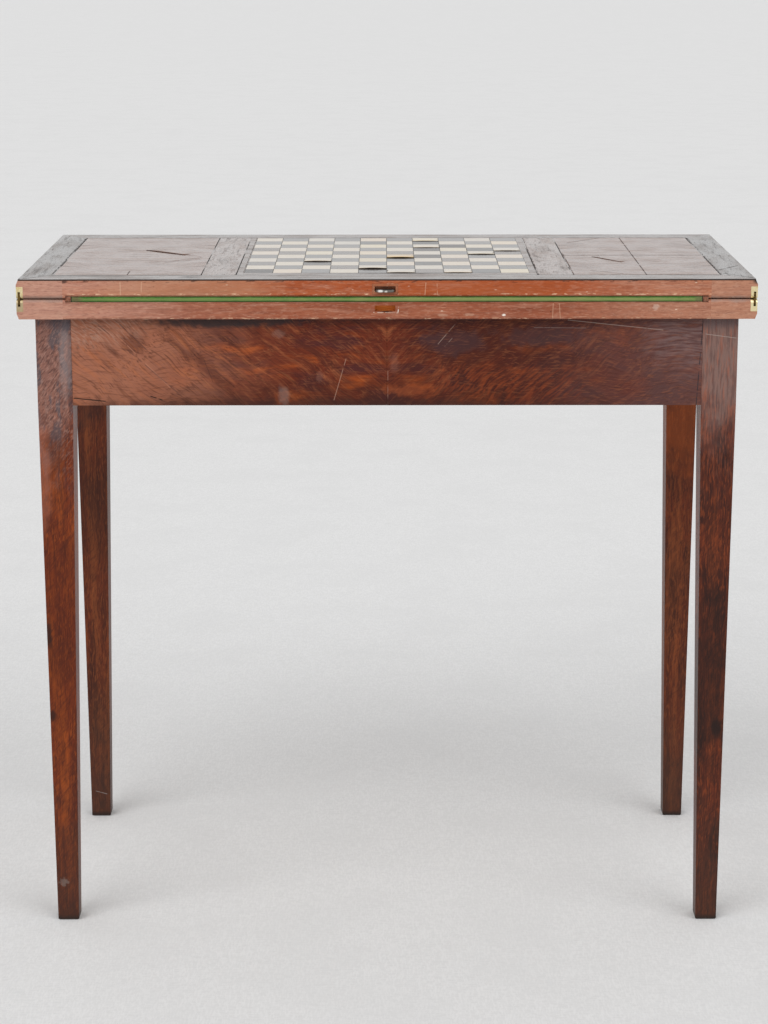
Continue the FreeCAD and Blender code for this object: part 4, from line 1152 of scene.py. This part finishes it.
# Holly, polished: ivory white squares, some gone yellow, with dirt along their edges.
HOLLY = Finish(
    "Holly squares, polished", "#DFD2C0", 0.34, coat=0.7, coat_roughness=0.13, sway=(3.0, 40.0),
    layers=(
        *streaks(Turn.ALONG, ("#D6C9B0", 0.5, 46, 2.4, 0.46, 0.64, 3, 91)),
        *streaks(Turn.ALONG, ("#BDAE98", 0.4, 24, 1.2, 0.56, 0.66, 2, 93), dull=0.4),
        Squares("#E3D3B2", 0.8, share=0.3, seed=2),
        Squares("#E2CBB0", 0.7, share=0.25, seed=33),
        Squares("#DDB878", 0.8, only=(5, 4)),
        Squares("#E0CBA0", 0.75, only=(4, 3)),
        Squares("#C9C4BC", 0.6, share=0.3, seed=21),
        SquareRims("#4A3A32", 0.6, dull=0.5, width=0.35),
    ),
)
# Dyed hardwood, polished: black-brown squares that show mostly as gloss.
DYED_SQUARES = Finish(
    "Dyed hardwood squares, polished", "#2B2421", 0.34, coat=0.95, coat_roughness=0.13, sway=(3.0, 40.0),
    layers=(
        *streaks(Turn.ALONG, ("#4A3B33", 0.6, 46, 2.6, 0.46, 0.66, 3, 95)),
        Squares("#6A5547", 0.6, rough=0.1, share=0.35, seed=5),
        Squares("#0E0A09", 0.8, dull=0.35, share=0.3, seed=14),
        SquareRims("#0D0807", 0.9, dull=0.8, width=0.35),
    ),
)
# Pine inside the frame: planed, unpolished, gone tan with age and dust.
CARCASE_PINE = Finish(
    "Pine, planed and bare", "#A07A52", 0.75, specular=0.3, sway=(12.0, 160.0),
    layers=wood_grain("#B8925F", "#74512F", Turn.ALONG, 1.0, 101)
    + streaks(Turn.ALONG, ("#6E5A45", 0.4, 90, 60, 0.5, 0.7, 2, 7), rough=0.1),
)
# Oak pegs, riven and dry: coarse yellow-brown grain.
PEG_OAK = Finish(
    "Oak pegs, riven", "#8A6A45", 0.65, specular=0.3,
    layers=wood_grain("#A5835A", "#58402A", Turn.ALONG, 0.7, 111),
)
# Brass plates, cast and filed: pale yellow where touched, brown in the hollows.
AGED_BRASS = Finish(
    "Brass, cast and filed, aged", "#EDDDAF", 0.38, metallic=1.0,
    layers=(
        *streaks(Turn.ACROSS, ("#C9AC66", 0.55, 16, 7, 0.47, 0.62, 4, 0), rough=0.12),
        # file strokes are about 0.1 mm wide and are drawn 0.5 mm wide
        *streaks(Turn.ACROSS, ("#FBF1CC", 0.4, 12, 0.5, 0.5, 0.6, 2, 3), rough=-0.06, depth=0.02),
        Specks("#6B5026", 0.75, rough=0.25, size=0.9, pitch=5, share=0.2),
        *stains(EDGE_Y, 14, ("#8F775E", 0.62, -400, 709, 60, 19, 0.2, 14), rough=0.15),
        *stains(EDGE_Y, 30, ("#3B2A16", 0.85, 0, 720.3, 900, 1, 0.3, 3), rough=0.3),
    ),
)
# The links, black-brown with old oil in their slots.
OILED_BRASS = Finish(
    "Brass links, oiled and tarnished", "#6A5430", 0.5, metallic=1.0,
    layers=(
        *streaks(Turn.UPRIGHT, ("#8A7038", 0.5, 6, 2, 0.52, 0.64, 4, 0), rough=-0.1),
        Specks("#1F1710", 0.8, rough=0.2, size=1, pitch=3, share=0.4),
    ),
)
# Steel tongue, specked with oil and darker towards where it enters the leaf, with painted glints near its
# left end.
FILED_STEEL = Finish(
    "Steel tongue, filed", "#77736E", 0.3, metallic=1.0,
    layers=(
        Specks("#3A2E28", 0.8, rough=0.35, size=1.8, pitch=4.5, share=0.4),
        Fade("#40342C", 0.7, rough=0.3, axis=Axis.Y, span=(-201.5, -198), grit=3),
        # painted highlight: white glints on the tongue
        *stains(-205, 9,
            ("#FFFDF8", 1, -7, 729.6, 3.6, 2.6, 0.2, 2),
            ("#F2EDE4", 0.9, -1, 729, 2.2, 1.6, 0.3, 2),
            rough=-0.1,
        ),
    ),
)
# Iron swivel, forged and blacked, with rust in its pits.
BLACK_IRON = Finish(
    "Iron, forged and blacked", "#4B4644", 0.55, metallic=1.0,
    layers=(
        *streaks(Turn.ALONG, ("#6B4F3E", 0.6, 9, 9, 0.5, 0.64, 4, 0), rough=0.15),
        Specks("#2B2422", 0.7, rough=0.1, depth=-0.1, size=1.2, pitch=3.5, share=0.4),
    ),
)
# Wool baize, woven and fulled: green, nap lying over threads 0.7 mm apart, rubbed to olive on the roll, with
# a painted highlight along the roll's middle and painted shade in its creases along the top and bottom.
BAIZE = Finish(
    "Wool baize, woven and fulled", "#3F702C", 0.95, specular=0.1, sheen=0.15,
    layers=(
        *streaks(Turn.ALONG,
            ("#5F8140", 0.45, 120, 90, 0.42, 0.66, 5, 121),
            ("#6F8A43", 0.35, 26, 7, 0.48, 0.66, 5, 122),
        ),
        *streaks(Turn.ALONG, ("#2F5522", 0.45, 3, 0.7, 0.48, 0.6, 2, 123), depth=0.12),
        *streaks(Turn.ACROSS, ("#7E9650", 0.35, 3, 0.7, 0.52, 0.62, 2, 125), depth=0.12),
        # painted highlight along the middle of the roll
        *stains(-200.3, 2, ("#93A062", 0.47, 0, 720.2, 900, 2, 0.5, 22)),
        *stains(-200.3, 3, ("#979A60", 0.52, 140, 720.2, 330, 3, 0.5, 18)),
        *stains(-201, 6,
            ("#6B6445", 0.85, -336, 720.3, 9, 9, 0.5, 5),
            ("#6B6E48", 0.8, 337, 720.3, 7, 9, 0.5, 5),
        ),
        Specks("#B3AA78", 0.6, size=1.6, pitch=24, share=0.4),
        # painted shade in the creases above and below the roll
        *stains(-199.6, 3,
            ("#26280F", 0.9, 0, 724.4, 900, 2.9, 0.2, 12),
            ("#2A2C12", 0.9, 0, 716.3, 900, 2.5, 0.2, 12),
        ),
    ),
)
# Vegetable-tanned leather, cut and glued: red-brown and creased, with painted shade along its edges, where it
# meets the leaves and the roll.
TAPE_LEATHER = Finish(
    "Leather tape, cut", "#84503A", 0.65, specular=0.3,
    layers=(
        *streaks(Turn.UPRIGHT, ("#B08A72", 0.6, 5, 1.6, 0.5, 0.62, 3, 0)),
        *streaks(Turn.UPRIGHT, ("#3A2018", 0.7, 4, 0.7, 0.56, 0.64, 2, 4), rough=0.1, depth=-0.15),
        # painted shade along the tape's top, bottom and ends
        *stains(-200, 4,
            ("#1C110D", 0.9, 0, 724.6, 900, 3, 0.2, 3),
            ("#1C110D", 0.9, 0, 716.1, 900, 2.8, 0.2, 3),
            ("#1C110D", 0.85, -340, 720, 2, 9, 0.2, 3),
            ("#1C110D", 0.85, 340, 720, 2, 9, 0.2, 3),
        ),
    ),
)
# Studio floor: a pale grey canvas, woven and painted.
FLOOR_CANVAS = Finish(
    "Canvas floor, painted", "#DEDEDE", 0.9,
    layers=(
        # threads are about 0.6 mm wide and are drawn 2.2 mm wide
        *streaks(Turn.ALONG, ("#D4D4D4", 0.5, 9, 2.2, 0.42, 0.66, 2, 5)),
        *streaks(Turn.ACROSS, ("#E8E8E8", 0.5, 9, 2.2, 0.42, 0.66, 2, 6)),
        *streaks(Turn.ALONG, ("#D8D8D8", 0.3, 140, 120, 0.45, 0.65, 6, 8)),
    ),
)


# ---------------------------------------------------------------- sub-assemblies

def piece_of(name: str, mesh: bmesh.types.BMesh, *finishes: Finish) -> bpy.types.Object:
    """Turns a mesh that is being built into an object of the scene.

    Args:
        name: the piece's name.
        mesh: its mesh, freed here.
        finishes: for its material slots.

    Returns:
        The object.
    """
    bmesh.ops.recalc_face_normals(mesh, faces=mesh.faces)
    data = bpy.data.meshes.new(name)
    mesh.to_mesh(data)
    mesh.free()
    for finish in finishes:
        data.materials.append(finish.material())
    piece = bpy.data.objects.new(name, data)
    bpy.context.scene.collection.objects.link(piece)
    return piece


@dataclass
class SubAssembly(ABC):
    """A group of pieces that are made and finished together.

    Attributes:
        arris: how far the arrises are rounded, in mm.
        arris_finish: what they are made of, where it isn't the piece's own finish.
    """

    arris: float = 0.5
    arris_finish: Finish | None = None

    @abstractmethod
    def finishes(self) -> Mapping[Finish, Iterable[str]]:
        """Which nodes of the model take which finish."""

    def build(self) -> list[bpy.types.Object]:
        """Builds the pieces that the model has only as plain solids; most sub-assemblies have none."""
        return []

    def dress(self) -> None:
        """Gives each node its finish and a softened arris."""
        for finish, names in self.finishes().items():
            for name in names:
                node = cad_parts[name]
                node.data.materials.clear()
                node.data.materials.append(finish.material())
                if self.arris_finish is not None:
                    node.data.materials.append(self.arris_finish.material())
                if self.arris:
                    self.soften(node)
                LOG.info("%s: %s", name, finish.name)

    def soften(self, node: bpy.types.Object) -> None:
        """Rounds the arrises of a node a little, so that they catch the light.

        Args:
            node: the object that gets the modifiers.
        """
        # the faces have corners of their own, which are welded so that the bevel finds the edges
        weld = node.modifiers.new("weld", "WELD")
        weld.merge_threshold = 0.001 * MM
        bevel = node.modifiers.new("soft_arris", "BEVEL")
        bevel.width = self.arris * MM
        bevel.segments = 2
        bevel.limit_method = "ANGLE"
        bevel.angle_limit = math.radians(40)
        bevel.harden_normals = True
        if self.arris_finish is not None:
            bevel.material = 1


@dataclass
class Legs(SubAssembly):
    """The four tapered legs."""

    arris: float = 0.8
    arris_finish: Finish | None = LEG_ARRIS

    def finishes(self) -> Mapping[Finish, Iterable[str]]:
        """A veneer for each leg.

        Returns:
            The nodes of each finish.
        """
        return {
            LEG_SLANTED: ("leg_front_left",),
            LEG_CLOUDED: ("leg_front_right",),
            LEG_PLAIN: ("leg_rear_left", "leg_rear_right"),
        }


@dataclass
class Carcase(SubAssembly):
    """Rails with their veneers, and the well inside."""

    arris: float = 0.4

    def finishes(self) -> Mapping[Finish, Iterable[str]]:
        """Veneered outside, bare pine inside.

        Returns:
            The nodes of each finish.
        """
        return {
            APRON_VENEER: ("veneer_front_left", "veneer_front_right"),
            RAIL_VENEER: ("veneer_rear", "veneer_left", "veneer_right"),
            CARCASE_PINE: (
                "rail_front", "rail_rear", "rail_left", "rail_right",
                "cross_rail", "well_floor", "floor_bearers",
            ),
            PEG_OAK: ("tenon_pegs", "stop_peg"),
        }


@dataclass
class Leaves(SubAssembly):
    """The boards of both leaves, their clamps and the block of the tongue."""

    arris: float = 0.6
    arris_finish: Finish | None = WORN_ARRIS

    def finishes(self) -> Mapping[Finish, Iterable[str]]:
        """Waxed mahogany.

        Returns:
            The nodes of each finish.
        """
        return {
            UPPER_LEAF_WOOD: ("upper_core",),
            LOWER_LEAF_WOOD: ("lower_core",),
            CLAMP_WOOD: ("lower_clamp_left", "lower_clamp_right", "upper_clamp_left", "upper_clamp_right"),
            PATCH_WOOD: ("align_block",),
        }


@dataclass
class Metalwork(SubAssembly):
    """Hinges, tongue and swivel."""

    arris: float = 0.15

    def finishes(self) -> Mapping[Finish, Iterable[str]]:
        """Brass hinges, a steel tongue and an iron swivel.

        Returns:
            The nodes of each finish.
        """
        return {
            AGED_BRASS: (
                "lower_hinge_left", "lower_hinge_right", "upper_hinge_left", "upper_hinge_right",
                "lower_hinge_screws", "upper_hinge_screws", "lower_hinge_pins", "upper_hinge_pins",
            ),
            OILED_BRASS: ("hinge_link_left", "hinge_link_right"),
            FILED_STEEL: ("align_tongue",),
            BLACK_IRON: ("swivel_plate", "swivel_bolt", "swivel_washer", "swivel_nut", "swivel_screws"),
        }


@dataclass
class Inlay(SubAssembly):
    """Borders, panels, strips, lines and squares of the upper face."""

    arris: float = 0.15

    def finishes(self) -> Mapping[Finish, Iterable[str]]:
        """One veneer for each part of the pattern.

        Returns:
            The nodes of each finish.
        """
        return {
            BORDER_LONG: ("border_front", "border_rear"),
            BORDER_END: ("border_left", "border_right"),
            PANEL_LEFT: ("panel_left",),
            PANEL_RIGHT: ("panel_right",),
            STRIP_BURR: ("cross_strips",),
            STRING_WOOD: ("stringing",),
            BAND_WOOD: ("board_bands",),
            HOLLY: ("light_squares",),
            DYED_SQUARES: ("dark_squares",),
        }


@dataclass
class LiftedVeneer(SubAssembly):
    """Squares and sheets of the upper face that have come up along one edge.

    Attributes:
        squares: column, row and height of each lifted square's front edge.
        flaps: for each split sheet the ends of its raised edge, how far it reaches behind, and its height.
        inset: what a lifted square lacks of its place on each side.
        glue: how far a sheet that still lies down is above the face.
        bend: how far behind the raised edge, and what share of its height is left there.
    """

    arris: float = 0.0
    squares: tuple[tuple[int, int, float], ...] = (
        (4, 1, 1.5), (5, 4, 1.3), (2, 3, 1.1), (8, 5, 0.9), (9, 6, 0.8),
        (6, 9, 0.6), (6, 7, 0.6), (5, 0, 0.7), (7, 0, 0.6),
    )
    flaps: tuple[tuple[Point, Point, Point, float], ...] = (
        ((-281.5, 47.0), (-233.5, 4.5), (14.0, 20.0), 0.75),
        ((235.5, -14.0), (265.5, -60.5), (9.0, 14.0), 0.4),
    )
    inset: float = 0.3
    glue: float = 0.04
    bend: tuple[Point, ...] = ((0.0, 1.0), (0.3, 0.62), (0.65, 0.2), (1.0, 0.0))

    def finishes(self) -> Mapping[Finish, Iterable[str]]:
        """No node belongs to it."""
        return {}

    def build(self) -> list[bpy.types.Object]:
        """Makes each lifted square and flap.

        Returns:
            The pieces.
        """
        made = []
        for column, row, rise in self.squares:
            left, front = (start + BOARD_PITCH * count for start, count in zip(BOARD_CORNER, (column, row)))
            right, back = left + BOARD_PITCH - self.inset, front + BOARD_PITCH - self.inset
            left, front = left + self.inset, front + self.inset
            made.append(self.wedge(
                f"lifted_square_{column}_{row}", HOLLY, "light_inlay", rise,
                (left, front), (right, front), (right, back), (left, back),
            ))
        for number, (start, end, back, rise) in enumerate(self.flaps):
            finish = PANEL_LEFT if start[0] < 0 else PANEL_RIGHT
            made.append(self.wedge(
                f"split_sheet_{number}", finish, "panel_veneer", rise, start, end,
                (end[0] + back[0] * 0.6, end[1] + back[1] * 0.6), (start[0] + back[0], start[1] + back[1]),
            ))
        return made

    def wedge(self, name: str, finish: Finish, slot: str, rise: float, *corners: Point) -> bpy.types.Object:
        """A thin sheet that is up along the edge from its first corner to its second.

        Args:
            name: the piece's name.
            finish: of its face.
            slot: not used.
            rise: how far the edge has come up, in mm.
            corners: four points of the upper face, in mm.

        Returns:
            The mesh object.
        """
        steps, front_face, top_face = 8, 1, 0
        mesh = bmesh.new()
        first, second, third, fourth = (Vector(corner) for corner in corners)
        rows = []
        for step in range(steps + 1):
            share = step / steps
            # highest in the middle of the edge, and more than half as high at its ends
            lift = rise * (0.35 + 0.65 * math.sin(math.pi * (0.12 + 0.76 * share)))
            front, back = first.lerp(second, share), fourth.lerp(third, share)
            row = [mesh.verts.new((front.x * MM, front.y * MM, TOP_Z * MM))]
            for depth, height in self.bend:
                spot = front.lerp(back, depth)
                level = TOP_Z + self.glue + lift * height
                row.append(mesh.verts.new((spot.x * MM, spot.y * MM, level * MM)))
            rows.append(row)
        for one, other in zip(rows, rows[1:]):
            for index in range(len(self.bend)):
                face = mesh.faces.new((one[index], other[index], other[index + 1], one[index + 1]))
                face.material_index = front_face if index == 0 else top_face
                face.smooth = index > 0
        for row in (rows[0], rows[-1]):
            mesh.faces.new(row).material_index = front_face
        # the raised front faces take the painted shade
        piece = piece_of(name, mesh, finish, LIFTED_EDGE_SHADE)
        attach(piece, "upper_leaf")
        return piece


@dataclass
class Baize(SubAssembly):
    """The baize of both leaves with its roll in the fold, and the leather tapes at the ends of the roll.

    Each leaf's cloth runs from its free edge to the hinge edge, round the arris and out into half of the
    roll. The two halves meet at the front of the roll when the leaves are shut, and again as a low ridge when
    they lie open.

    Attributes:
        pin_y: the hinge pins' Y.
        pin_off: how far the pins lie from the joint of the leaves.
        free_edge: where the cloth ends at the free side.
        half: half the width of the cloth on the leaf.
        roll_half: half the length of the roll.
        tape: where the tape begins and ends beside the roll.
        cloth: the cloth's thickness.
        leather: the tape's thickness.
        arris_radius: of the cloth round the leaf's arris.
        bulge: radius of the roll's middle line.
        bulge_out: Y of the roll's outermost point.
    """

    arris: float = 0.0
    pin_y: float = -196.0
    pin_off: float = 4.5
    free_edge: float = 154.7
    half: float = 346.7
    roll_half: float = 340.2
    tape: Point = (340.5, 346.7)
    cloth: float = 0.8
    leather: float = 0.9
    arris_radius: float = 3.4
    bulge: float = 3.6
    bulge_out: float = -199.95

    def finishes(self) -> Mapping[Finish, Iterable[str]]:
        """No node keeps its plain solid here."""
        return {}

    def build(self) -> list[bpy.types.Object]:
        """Makes both cloths and the four halves of the tapes.

        Returns:
            The pieces.
        """
        made = []
        for up, leaf in ((-1, "lower_leaf"), (1, "upper_leaf")):
            word = leaf.split("_")[0]
            cloth = self.cloth_half(f"{word}_baize_cloth", up)
            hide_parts(f"{word}_baize", "fold_baize")
            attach(cloth, leaf)
            made.append(cloth)
            for side, sign in (("left", -1), ("right", 1)):
                tape = self.tape_half(f"{word}_tape_{side}", up, sign)
                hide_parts("fold_tapes")
                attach(tape, leaf)
                made.append(tape)
        return made

    def path(self, up: int, start: float, bulge: float, out: float) -> list[Point]:
        """The middle line of the cloth in the YZ plane, from the leaf to the middle of the roll.

        Args:
            up: 1 for the upper leaf, -1 for the lower.
            start: the Y where it begins, in mm.
            bulge: radius of the roll's middle line.
            out: Y of the roll's outermost point.

        Returns:
            Points in mm.
        """
        step_length, arris_turn, roll_turn, arris_steps, roll_steps = 7.0, 62.0, 56.0, 7, 11
        pin_z = JOINT_Z + up * self.pin_off
        flat_z = pin_z - up * self.arris_radius
        count = max(2, round((start - self.pin_y) / step_length))
        points = [(start + (self.pin_y - start) * i / count, flat_z) for i in range(count)]
        for step in range(arris_steps + 1):
            angle = math.radians(arris_turn * step / arris_steps)
            in_y = self.arris_radius * math.sin(angle)
            in_z = self.arris_radius * math.cos(angle)
            points.append((self.pin_y - in_y, pin_z - up * in_z))
        centre = out + bulge
        for step in range(1, roll_steps + 1):
            angle = math.radians(roll_turn * (1 - step / roll_steps))
            points.append((centre - bulge * math.cos(angle), JOINT_Z + up * bulge * math.sin(angle)))
        # the bend between the arris and the roll is eased, the ends stay
        kept = count + 4
        for _ in range(2):
            points[kept:-2] = [
                tuple((a + 2 * b + c) / 4 for a, b, c in zip(points[i - 1], points[i], points[i + 1]))
                for i in range(kept, len(points) - 2)
            ]
        return points

    def cloth_half(self, name: str, up: int) -> bpy.types.Object:
        """One leaf's cloth with its half of the roll.

        Args:
            name: the piece's name.
            up: 1 for the upper leaf, -1 for the lower.

        Returns:
            The mesh object.
        """
        count, beside, wave = 200, self.roll_half + 3.0, 0.12
        roll = [-self.roll_half + 2 * self.roll_half * i / count for i in range(count + 1)]
        columns = [-self.half, -beside, *roll, beside, self.half]
        course = (self.free_edge, self.bulge, self.bulge_out)
        return self.strip(name, BAIZE, up, columns, course, self.cloth, wave)

    def tape_half(self, name: str, up: int, sign: int) -> bpy.types.Object:
        """Half of one leather tape.

        Args:
            name: the piece's name.
            up: 1 for the upper leaf, -1 for the lower.
            sign: 1 for the right end, -1 for the left.

        Returns:
            The mesh object.
        """
        (near, far), count, start, over_roll, wave = self.tape, 6, -190.0, 0.5, 0.03
        columns = sorted(sign * (near + (far - near) * i / count) for i in range(count + 1))
        course = (start, self.bulge + over_roll, self.bulge_out)
        return self.strip(name, TAPE_LEATHER, up, columns, course, self.leather, wave)

    def strip(self, name: str, finish: Finish, up: int, columns: list[float],
              course: Numbers, thick: float, wave: float) -> bpy.types.Object:
        """A band of cloth or leather along the path, with its thickness.

        Args:
            name: the piece's name.
            finish: what it is made of.
            up: 1 for the upper leaf, -1 for the lower.
            columns: the X of each row of points, in mm.
            course: where the path begins, the roll's radius and its outermost Y.
            thick: thickness in mm.
            wave: how far the roll's front wanders, in mm.

        Returns:
            The mesh object.
        """
        path = self.path(up, *course)
        mesh = bmesh.new()
        rows: list[list[bmesh.types.BMVert]] = []
        is_cloth = course[0] > 0
        wave_length, wave_seed, slack = 24.0, 3.0, 0.1
        for x in columns:
            row = []
            for y, z in path:
                share = max(0.0, (self.pin_y - y) / (self.pin_y - course[2])) ** 2
                shift = wave * share * noise.noise(Vector((x / wave_length, 0.0, wave_seed)))
                row.append(mesh.verts.new((x * MM, (y + shift) * MM, z * MM)))
            rows.append(row)
        for left, right, x in zip(rows, rows[1:], columns):
            beside_roll = is_cloth and (x < -self.roll_half - slack or x > self.roll_half - slack)
            for i in range(len(path) - 1):
                if beside_roll and path[i + 1][0] < self.pin_y - slack:
                    continue
                mesh.faces.new((left[i], right[i], right[i + 1], left[i + 1]))
        bmesh.ops.delete(mesh, geom=[v for v in mesh.verts if not v.link_faces], context="VERTS")
        piece = piece_of(name, mesh, finish)
        piece.data.shade_smooth()
        shell = piece.modifiers.new("thickness", "SOLIDIFY")
        shell.thickness = thick * MM
        shell.offset = 0.0
        return piece

    def flat_size(self, up: int) -> tuple[float, float]:
        """The cut size of one leaf's cloth.

        Args:
            up: 1 for the upper leaf, -1 for the lower.

        Returns:
            Its area in square metres and its length in metres.
        """
        path = self.path(up, self.free_edge, self.bulge, self.bulge_out)
        length = sum(math.dist(a, b) for a, b in zip(path, path[1:]))
        flat = self.free_edge - self.pin_y
        area = 2 * self.half * flat + 2 * self.roll_half * (length - flat)
        return area * MM * MM, length * MM


# ---------------------------------------------------------------- studio

@dataclass
class Studio:
    """Pale floor, even soft light and the camera.

    Attributes:
        floor_size: the length of its sides in metres.
        lens: in mm, on a sensor 36 mm wide.
        eye: where the camera is, in metres.
        look: its Euler angles in degrees.
        pale: what the eye and reflections see of the room.
        ambient: the strength of the light from all sides.
        lamps: name, Euler angles in degrees and irradiance of each; at zero degrees it shines straight down.
        spread: how wide a lamp is, in degrees.
    """

    floor_size: float = 120.0
    lens: float = 88.61
    eye: Numbers = (-0.00456, -2.90008, 1.11493)
    look: Numbers = (76.859, 0.042, -0.036)
    pale: str = "#DEDEDE"
    ambient: float = 0.62
    lamps: tuple[tuple[str, Numbers, float], ...] = (
        ("key_light", (50.0, 0.0, -38.0), 1.15),
        ("fill_light", (52.0, 0.0, 42.0), 0.75),
    )
    spread: float = 45.0

    def build(self) -> None:
        """Floor, world, lamps and camera."""
        bpy.context.scene.view_settings.view_transform = "Standard"
        self.floor()
        self.world()
        for name, turn, strength in self.lamps:
            self.lamp(name, turn, strength)
        self.camera()

    def floor(self) -> None:
        """One wide pale floor."""
        half = self.floor_size / 2
        data = bpy.data.meshes.new("studio_floor")
        corners = [(-half, -half, 0), (half, -half, 0), (half, half, 0), (-half, half, 0)]
        data.from_pydata(corners, [], [range(4)])
        data.materials.append(FLOOR_CANVAS.material())
        floor = bpy.data.objects.new("studio_floor", data)
        bpy.context.scene.collection.objects.link(floor)

    def world(self) -> None:
        """A pale room: even light, and a pale colour for the eye and for reflections."""
        world = bpy.data.worlds.new("studio_world")
        bpy.context.scene.world = world
        world.use_nodes = True
        tree = world.node_tree
        tree.nodes.clear()
        rays = add(tree, "LightPath").outputs
        seen = add(tree, "Math", {0: rays["Is Camera Ray"], 1: rays["Is Glossy Ray"]}, operation="MAXIMUM")
        both = add(tree, "Math", {0: seen, 1: rays["Is Transmission Ray"]}, operation="MAXIMUM")
        light = add(tree, "Background", {"Color": (1.0, 1.0, 1.0, 1.0), "Strength": self.ambient})
        room = add(tree, "Background", {"Color": linear(self.pale), "Strength": 1.0})
        mixed = add(tree, "MixShader", {0: both, 1: light, 2: room})
        add(tree, "OutputWorld", {"Surface": mixed})

    def lamp(self, name: str, turn: Numbers, strength: float) -> None:
        """A wide, soft sun.

        Args:
            name: the lamp's name.
            turn: Euler angles in degrees; at zero it shines straight down.
            strength: its irradiance in W/m2.
        """
        data = bpy.data.lights.new(name, "SUN")
        data.energy = strength
        data.angle = math.radians(self.spread)
        lamp = bpy.data.objects.new(name, data)
        lamp.rotation_euler = Euler([math.radians(angle) for angle in turn])
        bpy.context.scene.collection.objects.link(lamp)

    def camera(self) -> None:
        """A long lens at eye height, a little above the top."""
        data = bpy.data.cameras.new("studio_camera")
        data.lens = self.lens
        data.sensor_width = 36.0
        data.clip_end = 500.0
        camera = bpy.data.objects.new("studio_camera", data)
        camera.location = self.eye
        camera.rotation_euler = Euler([math.radians(angle) for angle in self.look])
        bpy.context.scene.collection.objects.link(camera)
        bpy.context.scene.camera = camera


def main() -> None:
    """Builds the studio and dresses each sub-assembly in order."""
    logging.basicConfig(level=logging.INFO, format="%(name)s: %(message)s")
    Studio().build()
    for part in (Legs(), Carcase(), Leaves(), Metalwork(), Inlay(), LiftedVeneer(), Baize()):
        part.dress()
        for piece in part.build():
            LOG.info("built %s", piece.name)


if __name__ == "__main__":
    main()
